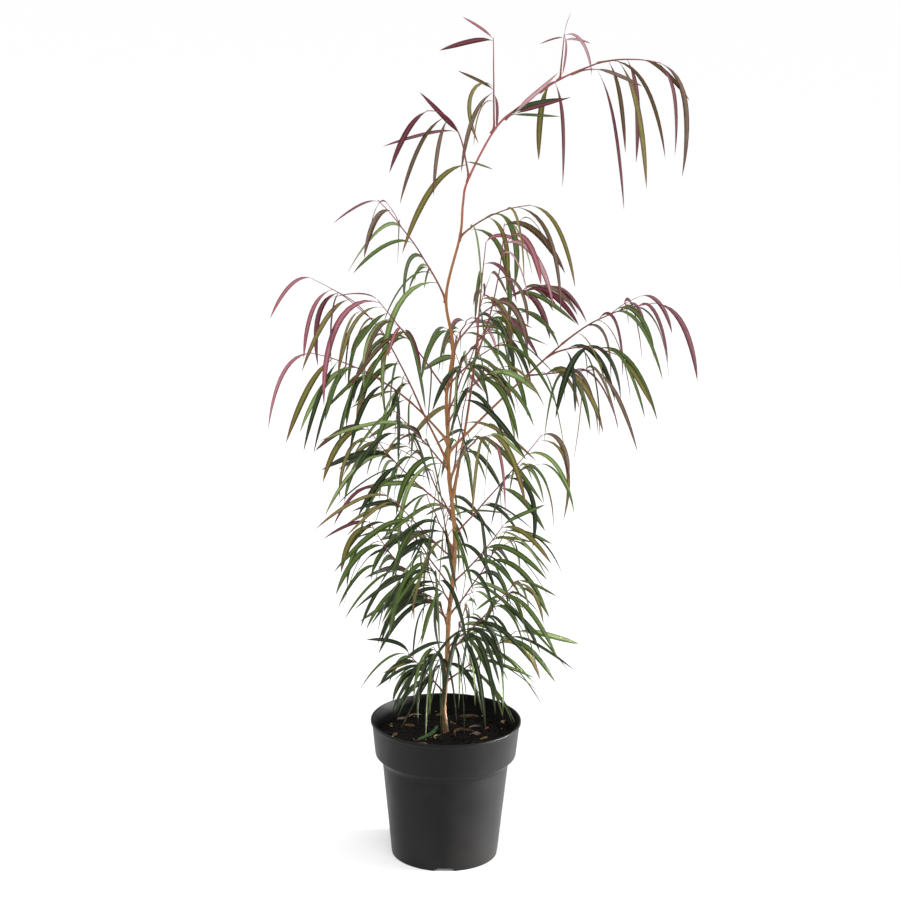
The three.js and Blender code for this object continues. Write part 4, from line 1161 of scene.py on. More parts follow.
LOW_FOOT = 345.0
LOW_PALETTE = Palette((
    (0.6, mixed(deep=0.62, green=0.34, sage=0.04)),
    (0.9, mixed(deep=0.5, green=0.4, sage=0.04, olive=0.06)),
    (1.0, mixed(deep=0.28, green=0.46, olive=0.26)),
))
MIDDLE_FOOT = 500.0
MIDDLE_PALETTE = Palette((
    (0.5, mixed(deep=0.35, green=0.45, olive=0.2)),
    (0.9, mixed(deep=0.1, green=0.46, sage=0.12, olive=0.22, bronze=0.1)),
    (1.0, mixed(green=0.3, olive=0.26, bronze=0.22, burgundy=0.22)),
))
HIGH_FOOT = 700.0
HIGH_PALETTE = Palette((
    (0.6, mixed(green=0.42, sage=0.26, olive=0.32)),
    (0.85, mixed(green=0.2, sage=0.26, olive=0.34, bronze=0.2)),
    (1.0, mixed(sage=0.15, olive=0.3, bronze=0.3, burgundy=0.25)),
))
PALETTES = {
    Spray.GREEN: Palette((
        (0.6, mixed(deep=0.46, green=0.42, sage=0.12)),
        (0.9, mixed(deep=0.26, green=0.46, sage=0.13, olive=0.15)),
        (1.0, mixed(deep=0.12, green=0.48, olive=0.28, bronze=0.12)),
    )),
    Spray.OLIVE: Palette((
        (0.5, mixed(deep=0.35, green=0.45, olive=0.2)),
        (0.85, mixed(green=0.34, sage=0.14, olive=0.32, bronze=0.2)),
        (1.0, mixed(olive=0.2, bronze=0.2, burgundy=0.35, pink=0.25)),
    )),
    Spray.BURGUNDY: Palette((
        (0.35, mixed(deep=0.25, green=0.35, olive=0.2, bronze=0.2)),
        (0.7, mixed(green=0.25, olive=0.2, bronze=0.3, burgundy=0.25)),
        (1.0, mixed(bronze=0.2, burgundy=0.5, pink=0.3)),
    )),
}

# The kinds of the leaves that a shoot sets, the tip leaf last
OWN_TINTS = {
    "left_upper_shoot": "sage burgundy",
    "left_burgundy_shoot": "pink olive green sage bronze burgundy",
    "left_long_shoot": "olive deep sage deep green green deep green green olive deep pink",
    "left_rising_shoot": "burgundy sage green deep pink",
    "left_middle_shoot": "olive olive green sage deep green bronze",
    "left_low_shoot": "olive green green green deep burgundy",
    "right_upper_shoot": "green bronze green olive olive",
    "right_middle_shoot": "olive sage olive deep green deep bronze",
    "right_low_shoot": "green olive green olive green",
    "right_foot_shoot": "green green sage",
    "front_left_shoot": "sage green green",
}


@dataclass(frozen=True)
class BarkFinish:
    """Thin tan bark: greyer and flaking at the foot, orange higher up and red on the young leader."""

    stages: tuple[tuple[float, Colour], ...] = (
        (160, linear(84, 66, 46)),
        (200, linear(118, 90, 62)),
        (300, linear(154, 114, 72)),
        (470, linear(152, 106, 62)),
        (690, linear(148, 98, 54)),
        (800, linear(152, 98, 64)),
        (850, linear(160, 88, 80)),
        (930, linear(158, 84, 94)),
        (1010, linear(128, 62, 74)),
    )
    flake: Colour = linear(74, 52, 34)
    pale: Colour = linear(198, 150, 98)
    highest: float = 1010.0

    def material(self) -> Material:
        """Make the material."""
        graph = Graph("flaking_tan_bark")
        height = graph.height()
        share = graph.math("DIVIDE", height, self.highest * MM)
        base = graph.ramp(share, [(z / self.highest, colour) for z, colour in self.stages])
        fibres = graph.noise(graph.place((1, 1, 0.09)), 900, 5, 0.65)
        flakes = graph.noise(graph.place((1, 1, 0.35)), 210, 4, 0.6)
        old = graph.span(height, 0.5, 0.2, 0.25, 0.85)
        striped = graph.math("MULTIPLY", graph.span(fibres, 0.42, 0.7, 0, 0.45),
                             graph.span(height, 0.82, 0.3, 0.1, 1))
        streaked = graph.mix(striped, base, self.pale)
        share = graph.math("MULTIPLY", graph.span(flakes, 0.5, 0.62), old)
        graph.colour(graph.mix(share, streaked, self.flake))
        graph.bump(graph.math("ADD", fibres, flakes), 0.35, 0.7)
        graph.set(roughness=0.7, specular_ior_level=0.3)
        return graph.material


@dataclass(frozen=True)
class YoungWoodFinish:
    """Thin smooth bark of boughs and twigs: tan at the foot, then red, and rose at the tip."""

    name: str
    stages: tuple[tuple[float, Colour], ...]

    def material(self) -> Material:
        """Make the material."""
        graph = Graph(self.name)
        base = graph.ramp(graph.attribute("age"), self.stages)
        streaks = graph.noise(graph.place(), 700, 3)
        graph.colour(graph.mix(graph.span(streaks, 0.35, 0.7, 0, 0.35), base, linear(92, 46, 40)))
        graph.bump(streaks, 0.12, 0.5)
        graph.set(roughness=0.5, specular_ior_level=0.4)
        return graph.material


@dataclass(frozen=True)
class PotFinish:
    """Moulded charcoal plastic: matt, faintly grained, a little dusty, with painted shade under its
    shoulder.
    """

    base: Colour = linear(15, 14, 14)
    dust: Colour = linear(38, 36, 34)
    # The next colour is painted shade, laid over the shoulder's underside between the heights that
    # shoulder_foot and shoulder_top give.
    painted_shade: Colour = linear(6, 6, 6)
    shoulder_foot: Range = (0.1245, 0.1255)
    shoulder_top: Range = (0.135, 0.1335)

    def material(self) -> Material:
        """Make the material."""
        graph = Graph("moulded_charcoal_plastic")
        where = graph.place()
        height = graph.height()
        cloud = graph.noise(where, 18, 4, 0.6)
        grain = graph.noise(where, 1400, 2, 0.5)
        scuffs = graph.noise(graph.place((1, 1, 6)), 60, 5, 0.7)
        dusted = graph.mix(graph.span(cloud, 0.45, 0.8, 0, 0.22), self.base, self.dust)
        low = graph.span(height, 0.05, 0.0, 0, 0.3)
        dusted = graph.mix(graph.math("MULTIPLY", low, cloud), dusted, self.dust)
        rubbed = graph.mix(graph.span(scuffs, 0.62, 0.72, 0, 0.18), dusted, self.dust)
        # Painted shade: near black over the shoulder's underside, between these two heights.
        above = graph.span(height, *self.shoulder_foot)
        below = graph.span(height, *self.shoulder_top)
        graph.colour(graph.mix(graph.math("MULTIPLY", above, below), rubbed, self.painted_shade))
        graph.roughen(graph.span(cloud, 0.3, 0.75, 0.4, 0.5))
        graph.bump(grain, 0.05, 0.6)
        graph.set(specular_ior_level=0.16)
        return graph.material


@dataclass(frozen=True)
class PeatFinish:
    """Moist dark peat, in crumbs, with brown fibres."""

    dark: Colour = linear(9, 8, 7)
    brown: Colour = linear(30, 22, 17)

    def material(self) -> Material:
        """Make the material."""
        graph = Graph("moist_peat")
        where = graph.place()
        crumbs = graph.noise(where, 260, 5, 0.7)
        fibres = graph.noise(graph.place((1, 0.3, 1)), 500, 3, 0.6)
        base = graph.mix(graph.span(crumbs, 0.45, 0.72, 0, 0.7), self.dark, self.brown)
        graph.colour(graph.mix(graph.span(fibres, 0.62, 0.7, 0, 0.5), base, linear(78, 58, 40)))
        graph.bump(crumbs, 1.2, 0.9)
        graph.roughen(graph.span(crumbs, 0.3, 0.7, 0.75, 0.98))
        graph.set(specular_ior_level=0.12)
        return graph.material


@dataclass(frozen=True)
class LitterFinish:
    """Bits that lie on the mix: bark chips, pale grit, or a dry twig end."""

    name: str
    base: Colour
    dark: Colour
    scale: float = 240.0

    def material(self) -> Material:
        """Make the material."""
        graph = Graph(self.name)
        grain = graph.noise(graph.place((1, 1, 0.5)), self.scale, 4, 0.65)
        graph.colour(graph.mix(graph.span(grain, 0.35, 0.65), self.base, self.dark))
        graph.bump(grain, 0.4, 0.8)
        graph.set(roughness=0.85, specular_ior_level=0.3)
        return graph.material


@dataclass(frozen=True)
class FloorFinish:
    """A plain pale floor."""

    base: Colour = (0.93, 0.93, 0.93)

    def material(self) -> Material:
        """Make the material."""
        graph = Graph("pale_floor")
        graph.set(base_color=self.base, roughness=0.9, specular_ior_level=0.1)
        return graph.material


# Sub-assemblies

@dataclass
class NurseryPot:
    """The round pot: foot ring, tapered body, short sharp shoulder, rim band and a thin lip."""

    foot_radius: float = 67.5
    body_top_radius: float = 80.0
    band_foot_radius: float = 89.0
    body_top: float = 125.0
    band_foot: float = 134.0
    ring_inside: float = 57.5
    pad_radius: float = 18.0
    recess_depth: float = 6.5
    recess_slant: float = 1.0
    floor_thickness: float = 3.0
    wall: float = 2.0
    lip: float = 0.9
    turn_steps: int = 144
    sharp_angle: float = 38.0
    notches: int = 4
    notch_width: float = 29.0
    notch_top_width: float = 17.0
    notch_overcut: float = 4.0
    drains: int = 6
    drain_radius: float = 5.0
    drain_steps: int = 24
    drain_span: Range = (2.0, 14.0)
    slot_size: tuple[float, float, float] = (12.0, 9.0, 3.6)
    slot_height: float = 172.5
    finish: PotFinish = field(default_factory=PotFinish)

    def outline(self) -> list[Pair]:
        """Return the pot's section, from the middle of its underside round to the middle of its floor."""
        floor_top = self.recess_depth + self.floor_thickness
        shoulder = [
            (self.body_top_radius - 0.4, self.body_top - 4),
            (self.body_top_radius - 0.1, self.body_top - 0.6),
            (self.body_top_radius + 0.5, self.body_top + 0.3),
            (self.band_foot_radius - 1.0, self.band_foot - 1.3),
            (self.band_foot_radius - 0.3, self.band_foot - 0.4),
            (self.band_foot_radius + 0.1, self.band_foot + 0.8),
        ]
        top, lip = POT_HEIGHT, self.lip
        rim = [
            (RIM_RADIUS - 1.7, top - 5.4),
            (RIM_RADIUS - 1.5, top - 4.8),
            (RIM_RADIUS - 0.3, top - 3.9),
            (RIM_RADIUS, top - 3.2),
            *self.arc((RIM_RADIUS - lip, top - lip), lip, lip, 0, 90, 4),
            *self.arc((RIM_RADIUS - self.wall + 0.2, top - lip), lip, lip, 90, 180, 4),
        ]
        inside = [
            (RIM_RADIUS - self.wall - 1.0, top - 6),
            (self.band_foot_radius - self.wall, self.band_foot + 1),
            (self.body_top_radius - self.wall, self.body_top + 1),
            (self.foot_radius - self.wall + 0.8, floor_top + 1.5),
            (self.foot_radius - self.wall - 1.2, floor_top),
            (0, floor_top),
        ]
        foot = [
            (0, 0),
            (self.pad_radius - 0.6, 0),
            (self.pad_radius, 0.6),
            (self.pad_radius + self.recess_slant, self.recess_depth),
            (self.ring_inside - self.recess_slant, self.recess_depth),
            (self.ring_inside, 0.6),
            (self.ring_inside + 0.6, 0),
            *self.arc((self.foot_radius - 1.2, 1.2), 1.2, 1.2, -90, 0, 4),
        ]
        return [*foot, *shoulder, *rim, *inside]

    @staticmethod
    def arc(centre: Pair, wide: float, high: float, start: float, end: float, steps: int) -> list[Pair]:
        """Return the points of an arc from one angle to another."""
        angles = np.radians(np.linspace(start, end, steps))
        return [(centre[0] + wide * math.cos(a), centre[1] + high * math.sin(a)) for a in angles]

    def cutters(self) -> Shape:
        """Return what is cut from the pot: its foot notches, drain holes and the two slots under its rim."""
        tool = bmesh.new()
        depth = self.foot_radius - self.ring_inside + 2 * self.notch_overcut
        for index in range(self.notches):
            turn = Matrix.Rotation(index * math.tau / self.notches, 4, "Z")
            made = bmesh.ops.create_cube(tool, size=1)["verts"]
            for corner in made:
                is_top = corner.co.z > 0
                width = self.notch_top_width if is_top else self.notch_width
                height = self.recess_depth if is_top else -1
                middle = self.notch_overcut - self.ring_inside - depth / 2
                corner.co = Vector((corner.co.x * width, middle + corner.co.y * depth, height)) * MM
            bmesh.ops.transform(tool, matrix=turn, verts=made)
        away = (self.pad_radius + self.ring_inside) / 2
        low, high = self.drain_span
        radius = self.drain_radius * MM
        for index in range(self.drains):
            angle = (index + 0.5) * math.tau / self.drains
            middle = Vector((away * math.cos(angle), away * math.sin(angle), (low + high) / 2))
            bmesh.ops.create_cone(tool, cap_ends=True, segments=self.drain_steps, radius1=radius,
                                  radius2=radius, depth=(high - low) * MM,
                                  matrix=Matrix.Translation(middle * MM))
        for hand in (-1, 1):
            spot = Matrix.Translation(Vector((hand * RIM_RADIUS, 0, self.slot_height)) * MM)
            size = Matrix.Diagonal((*(Vector(self.slot_size) * MM), 1))
            bmesh.ops.create_cube(tool, size=1, matrix=spot @ size)
        return tool

    def build(self) -> None:
        """Build and dress the pot."""
        shape = spun(self.outline(), self.turn_steps)
        sharpen(shape, self.sharp_angle)
        piece = object_of(shape, "nursery_pot")
        tool = object_of(self.cutters(), "cutters", smooth=False)
        cut = piece.modifiers.new("cut", "BOOLEAN")
        cut.operation = "DIFFERENCE"
        cut.solver = "EXACT"
        cut.object = tool
        settled = bpy.data.meshes.new_from_object(piece.evaluated_get(bpy.context.evaluated_depsgraph_get()))
        piece.modifiers.clear()
        piece.data = settled
        bpy.data.objects.remove(tool, do_unlink=True)
        shape = bmesh.new()
        shape.from_mesh(settled)
        sharpen(shape, self.sharp_angle)
        shape.to_mesh(settled)
        shape.free()
        settled.materials.clear()
        settled.materials.append(self.finish.material())
        dress(piece, ["pot"])


@dataclass
class PottingMix:
    """The peat that fills the pot, with its crumbs and what lies on it."""

    edge_radius: float = 91.5
    top_radius: float = 91.2
    shoulder: tuple[Pair, ...] = ((77.3, 126.0), (86.4, 135.6))
    floor: float = 9.8
    foot_radius: float = 65.6
    relief: float = 1.7
    lump_size: float = 16.0
    settled: float = 0.6
    wall_dip: float = 2.0
    dip_place: float = 0.98
    dip_width: float = 0.05
    turn_steps: int = 150
    rings: int = 46
    crumbs: int = 1300
    beads: int = 26
    lump_stretch: Range = (0.7, 1.5)
    lump_rough: float = 0.25
    seed: int = 5
    finish: PeatFinish = field(default_factory=PeatFinish)

    def surface(self, x: float, y: float) -> float:
        """Return the height of the mix at a place, in millimetres."""
        away = math.hypot(x, y) / self.edge_radius
        crown = SOIL_CROWN * max(0.0, 1 - away**2)
        spot = Vector((x, y, 0)) / self.lump_size
        lumps = noise.fractal(spot, 0.9, 2.1, 5, noise_basis="PERLIN_ORIGINAL")
        dip = self.wall_dip * math.exp(-(((away - self.dip_place) / self.dip_width) ** 2))
        return SOIL_EDGE_HEIGHT + crown - self.settled + self.relief * lumps - dip

    def build_body(self) -> None:
        """Build and dress the body of the mix."""
        spokes = [(self.top_radius * k / self.rings, SOIL_TOP) for k in range(self.rings, -1, -1)]
        wall = [(0, self.floor), (self.foot_radius, self.floor), *self.shoulder]
        shape = spun([*wall, *spokes], self.turn_steps)
        for corner in shape.verts:
            if corner.co.z > (SOIL_TOP - 0.01) * MM:
                corner.co.z = self.surface(corner.co.x / MM, corner.co.y / MM) * MM
        piece = object_of(shape, "peat_mix")
        piece.data.materials.append(self.finish.material())
        dress(piece, ["potting_mix"])

    def scatter(self, name: str, count: int, sizes: Range, flatness: Range, material: Material,
                seed: int, sunk: float, rim: float = 0.97) -> None:
        """Scatter small lumps over the mix, joined into one dressed piece.

        Args:
            name: The piece's name.
            count: How many lumps there are.
            sizes: The range of their radius.
            flatness: The range of their height, as a share of their width.
            material: Their finish.
            seed: Picks their places.
            sunk: How far they sit in the mix, as a share of their height.
            rim: How near the pot's wall they come, as a share of the mix's radius.
        """
        shape = bmesh.new()
        bmesh.ops.create_icosphere(shape, subdivisions=1, radius=1)
        unit_points = np.array([corner.co[:] for corner in shape.verts])
        unit_faces = [[corner.index for corner in face.verts] for face in shape.faces]
        shape.free()
        random = np.random.default_rng(seed)
        points, faces = [], []
        for index in range(count):
            away, angle = self.edge_radius * rim * math.sqrt(random.random()), random.uniform(0, math.tau)
            x, y = away * math.cos(angle), away * math.sin(angle)
            size = lerp(*sizes, random.random() ** 2)
            longer = random.uniform(*self.lump_stretch)
            stretch = np.array([size * longer, size, size * random.uniform(*flatness)])
            rough = 1 + random.uniform(-self.lump_rough, self.lump_rough, (len(unit_points), 1))
            turn = random.uniform(0, math.tau)
            spin = np.array([[math.cos(turn), -math.sin(turn), 0], [math.sin(turn), math.cos(turn), 0], UP])
            lump = (unit_points * rough * stretch) @ spin.T
            level = self.surface(x, y) + stretch[2] * (1 - 2 * sunk)
            points.append((lump + (x, y, level)) * MM)
            faces.extend([corner + index * len(unit_points) for corner in face] for face in unit_faces)
        mesh = bpy.data.meshes.new(name)
        mesh.from_pydata(np.concatenate(points).tolist(), [], faces)
        mesh.polygons.foreach_set("use_smooth", np.ones(len(faces), bool))
        mesh.materials.append(material)
        dress(linked(name, mesh))

    def build(self) -> None:
        """Build and dress the mix, its crumbs and its pale grit."""
        self.build_body()
        self.scatter("peat_crumbs", self.crumbs, (0.5, 2.3), (0.5, 0.9), self.finish.material(),
                     self.seed, 0.35)
        grit = LitterFinish("pale_grit", linear(206, 198, 150), linear(150, 138, 92))
        self.scatter("pale_grit", self.beads, (0.5, 1.1), (0.8, 1.0), grit.material(),
                     self.seed + 1, 0.25, 0.9)


@dataclass(frozen=True)
class Chip:
    """A bit of bark on the mix: its middle, azimuth, length, width, height and how much it bends."""

    x: float
    y: float
    azimuth: float
    length: float
    width: float
    height: float
    bend: float = 0.0


@dataclass
class Litter:
    """What lies on the mix: bark chips, a few dry bits and one fallen leaf."""

    mix: PottingMix
    chip_rings: int = 9
    chip_sides: int = 10
    chip_outline: tuple[Pair, ...] = ((0, 0.35), (0.12, 0.8), (0.5, 1), (0.86, 0.85), (1, 0.3))
    chip_rough: float = 0.22
    chip_tilt: float = 4.0
    chip_lift: float = 0.3
    brown_chips: tuple[Chip, ...] = (
        Chip(29, 58, 4, 26, 7, 4, 0.1),
        Chip(24, -6, 38, 30, 6, 4.5, 0.5),
        Chip(-46, 22, 160, 14, 7, 3),
        Chip(-30, -44, 20, 16, 8, 3),
        Chip(14, -58, 350, 22, 7, 3, 0.2),
        Chip(-8, 62, 30, 12, 6, 3),
        Chip(-64, -10, 70, 12, 6, 3),
        Chip(62, -34, 320, 15, 6, 3),
        Chip(-24, 74, 110, 15, 6, 3),
        Chip(36, -44, 200, 12, 7, 3),
    )
    grey_chips: tuple[Chip, ...] = (
        Chip(38, -9, 320, 12, 9, 4, 0.2),
        Chip(37, 16, 10, 16, 4, 2.5, 0.2),
        Chip(-56, 44, 200, 13, 6, 3),
        Chip(-14, -70, 15, 12, 5, 3),
    )
    olive_chips: tuple[Chip, ...] = (Chip(48, -20, 40, 12, 4, 3), Chip(-70, 20, 300, 8, 3, 2))
    fallen_leaf: tuple[Chip, ...] = (Chip(-23, -6, 239, 47, 6.5, 3.4, 0.12),)
    red_chips: tuple[Chip, ...] = (Chip(52, 16, 50, 8, 3, 2.2), Chip(-34, -30, 10, 5, 2, 1.5))
    twig_ends: tuple[Chip, ...] = (
        Chip(76, 42, 80, 13, 3.4, 3.4, 0.3),
        Chip(-9, -20, 70, 14, 2.2, 2.2, 0.4),
        Chip(-40, 60, 30, 18, 1.8, 1.8, 0.3),
        Chip(10, 34, 120, 14, 1.6, 1.6, 0.2),
        Chip(-60, -46, 300, 16, 1.8, 1.8, 0.3),
    )

    def chips(self, name: str, chips: Sequence[Chip], finish: LitterFinish, seed: int) -> None:
        """Build and dress one kind of chip, joined into one piece.

        Args:
            name: The piece's name.
            chips: The chips.
            finish: Their finish.
            seed: Picks their small unevenness.
        """
        batch = MeshBatch()
        places = np.linspace(0, 1, self.chip_rings)
        angles = round_angles(self.chip_sides)
        for index, chip in enumerate(chips):
            random = np.random.default_rng(seed * 50 + index)
            level = self.mix.surface(chip.x, chip.y) + chip.height * self.chip_lift
            tilt = random.uniform(-self.chip_tilt, self.chip_tilt)
            run, side = heading(chip.azimuth, tilt), side_of(chip.azimuth)
            shift = (places - 0.5) * chip.length
            bow = chip.bend * chip.length * (1 - (2 * places - 1) ** 2)
            middle = np.array([chip.x, chip.y, level]) + shift[:, None] * run + bow[:, None] * side
            slim = np.interp(places, *zip(*self.chip_outline, strict=True))
            rough = 1 + random.uniform(-self.chip_rough, self.chip_rough, (len(places), len(angles)))
            wide = (slim[:, None] * rough * np.cos(angles)) * chip.width / 2
            high = (slim[:, None] * rough * np.sin(angles)) * chip.height / 2
            rings = middle[:, None] + wide[..., None] * side + high[..., None] * UP
            batch.add(rings, angles / math.tau, places, places, [0] * len(angles))
        dress(batch.build(name, [finish.material()]))

    def build(self) -> None:
        """Build and dress all that lies on the mix."""
        kinds = (
            ("brown_bark_chips", self.brown_chips, linear(96, 72, 48), linear(44, 32, 22)),
            ("grey_bark_chips", self.grey_chips, linear(124, 104, 95), linear(72, 58, 50)),
            ("olive_chips", self.olive_chips, linear(134, 118, 58), linear(82, 68, 34)),
            ("fallen_leaf", self.fallen_leaf, linear(66, 92, 52), linear(46, 68, 36)),
            ("red_bits", self.red_chips, linear(186, 84, 84), linear(140, 48, 52)),
            ("dry_twig_ends", self.twig_ends, linear(178, 156, 126), linear(120, 92, 66)),
        )
        for seed, (name, chips, base, dark) in enumerate(kinds):
            self.chips(name, chips, LitterFinish(name, base, dark), seed)


@dataclass
class Wood:
    """The trunk and boughs with their bark's relief, and the thin stems of the shoots."""

    shrub: Shrub
    ring_step: float = 2.0
    trunk_sides: int = 30
    bough_sides: int = 16
    shoot_sides: int = 7
    bough_rings: int = 12
    shoot_rings: int = 4
    twig_rings: int = 9
    bough_collar: float = 0.45
    shoot_collar: float = 0.35
    sunk: float = 4.0
    bough_radii: Range = (1.6, 1.05)
    side_stem_radii: Range = (1.8, 1.2)
    shoot_radii: Range = (1.15, 0.5)
    twig_radii: Range = (0.6, 0.32)
    collar_fall: float = 1.6
    ridges_round: float = 2.4
    ridge_length: float = 17.0
    ridge_relief: Range = (0.07, 0.02)
    flakes_round: float = 1.3
    flakes_shift: float = 9.0
    flake_length: float = 6.0
    flake_relief: Range = (0.07, 0.0)
    flake_edge: float = 18.0
    flake_least: float = 0.08
    swelling: float = 0.4
    swelling_width: float = 4.0
    swelling_heights: Range = (200.0, 1000.0)
    swelling_shares: Range = (1.0, 0.5)
    young_above: float = 800.0
    bough_age: float = 0.5
    scar_height: float = 0.12
    scar_spacing: float = 27.0
    scar_width: float = 1.6

    def node_swelling(self, height: Array, nodes: Sequence[float]) -> Array:
        """Return how far the stem swells at its joints, in millimetres."""
        swell = sum(np.exp(-(((height - node) / self.swelling_width) ** 2)) for node in nodes)
        return self.swelling * swell * np.interp(height, self.swelling_heights, self.swelling_shares)

    def relief(self, spot: Array, angle: float, girth: float, age: float) -> float:
        """Return how far the bark, 0 for old and 1 for young, stands out at an angle round a spot."""
        round_x, round_y = math.cos(angle), math.sin(angle)
        wide = self.ridges_round
        ridge = noise.noise(Vector((round_x * wide, round_y * wide, spot[2] / self.ridge_length)))
        wide = self.flakes_round
        place = Vector((round_x * wide + self.flakes_shift, round_y * wide, spot[2] / self.flake_length))
        step = 1 / (1 + math.exp(-self.flake_edge * (noise.noise(place) - self.flake_least)))
        return girth * (lerp(*self.ridge_relief, age) * ridge + lerp(*self.flake_relief, age) * step)

    def add_bark(self, batch: MeshBatch, middle: Array, side: Array, radii: Array,
                 sides: int, ages: Array, places: Array) -> None:
        """Add rings with the bark's relief round a middle line.

        Args:
            batch: Takes the rings.
            middle: The middle line.
            side: A direction to one side of it.
            radii: The radius at each of its points.
            sides: How many points a ring has.
            ages: How young the bark is at each point, 0 to 1.
            places: Each ring's place along the limb.
        """
        _, first, second = frames_along(middle, side)
        angles = round_angles(sides)
        rings = np.zeros((len(middle), sides, 3))
        for i, spot in enumerate(middle):
            for k, angle in enumerate(angles):
                radius = radii[i] + self.relief(spot, angle, radii[i], ages[i])
                rings[i, k] = spot + first[i] * radius * math.cos(angle)
                rings[i, k] += second[i] * radius * math.sin(angle)
        batch.add(rings, angles / math.tau, places, places, [0] * sides)

    def trunk(self) -> None:
        """Build and dress the main stem."""
        limb = self.shrub.limbs[TRUNK]
        knees = np.vstack([limb.points[0] - (0, 0, self.sunk), limb.points])
        length = np.linalg.norm(np.diff(knees, axis=0), axis=1).sum()
        places = np.linspace(0, 1, int(length / self.ring_step))
        middle = spline(knees, places)
        height = middle[:, 2]
        seats = [at for _, at, _ in BOUGHS]
        seats += [shoot.at for shoot in SHOOTS if shoot.on == TRUNK and shoot.at != TIP]
        radii = np.array([Shrub.stem_radius(max(level, SOIL_TOP)) for level in height])
        radii = radii + self.node_swelling(height, seats)
        past_scar = height % self.scar_spacing - self.scar_spacing // 2
        radii = radii + self.scar_height * np.exp(-((past_scar / self.scar_width) ** 2))
        ages = np.interp(height, (SOIL_TOP, self.young_above), (0, 1))
        batch = MeshBatch()
        self.add_bark(batch, middle, side_of(0), radii, self.trunk_sides, ages, places)
        dress(batch.build("trunk_bark", [BarkFinish().material()]), [TRUNK])

    def collared(self, points: Array, foot: Array, radii: Range, per_stretch: int,
                 collar: float) -> tuple[Array, Array, Array]:
        """Lead a limb on from inside the limb that carries it, with a collar at its foot.

        Args:
            points: The limb's points.
            foot: The point inside its carrier that it starts from.
            radii: Its radius at the foot and at the tip.
            per_stretch: How many rings each stretch gets.
            collar: How much wider the foot is, as a share of its radius.

        Returns:
            The middle line, the radii along it and each ring's place along the limb.
        """
        line = np.vstack([foot, points])
        places = np.linspace(0, 1, (len(line) - 1) * per_stretch + 1)
        middle = spline(line, places)
        first = 1 / (len(line) - 1)
        age = np.clip((places - first) / (1 - first), 0, 1)
        wide = 1 + collar * np.exp(-age * len(line) * self.collar_fall)
        return middle, np.interp(age, (0, 1), radii) * wide, age

    def boughs(self) -> None:
        """Build and dress the boughs, joined into one piece."""
        batch = MeshBatch()
        trunk = self.shrub.limbs[TRUNK]
        for name, height, _ in BOUGHS:
            limb = self.shrub.limbs[name]
            foot = root_inside(limb, trunk, height, BOUGH_ROOT)
            radii = self.side_stem_radii if name == "side_stem" else self.bough_radii
            line = self.collared(limb.points, foot, radii, self.bough_rings, self.bough_collar)
            middle, radii, places = line
            ages = np.full(len(places), self.bough_age)
            self.add_bark(batch, middle, limb.side, radii, self.bough_sides, ages, places)
        finish = YoungWoodFinish("bough_bark", (
            (0.0, linear(156, 108, 64)),
            (0.45, linear(138, 88, 54)),
            (1.0, linear(118, 58, 48)),
        ))
        dress(batch.build("bough_bark", [finish.material()]), [name for name, *_ in BOUGHS])

    def shoots(self) -> None:
        """Build and dress the stems and twigs of all shoots, joined into one piece."""
        batch = MeshBatch()
        angles = round_angles(self.shoot_sides)
        for growth in self.shrub.growths:
            for axis in growth.axes:
                if axis.seated_on is None:
                    age = np.linspace(0, 1, self.twig_rings)
                    middle, radii = spline(axis.points, age), np.interp(age, (0, 1), self.twig_radii)
                else:
                    middle, radii, age = self.collared(axis.points, axis.seated_on, self.shoot_radii,
                                                       self.shoot_rings, self.shoot_collar)
                _, first, second = frames_along(middle, axis.side)
                spokes = np.cos(angles)[None, :, None] * first[:, None]
                spokes = spokes + np.sin(angles)[None, :, None] * second[:, None]
                rings = middle[:, None] + spokes * radii[:, None, None]
                ages = np.interp(age, (0, 1), axis.age)
                batch.add(rings, angles / math.tau, age, ages, [0] * len(angles))
        finish = YoungWoodFinish("shoot_bark", (
            (0.0, linear(128, 78, 54)),
            (0.3, linear(112, 54, 50)),
            (0.75, linear(116, 44, 54)),
            (1.0, linear(142, 62, 76)),
        ))
        names = [growth.shoot.name for growth in self.shrub.growths]
        dress(batch.build("shoot_stems", [finish.material()]), names)

    def build(self) -> None:
        """Build and dress all the wood."""
        self.trunk()
        self.boughs()
        self.shoots()


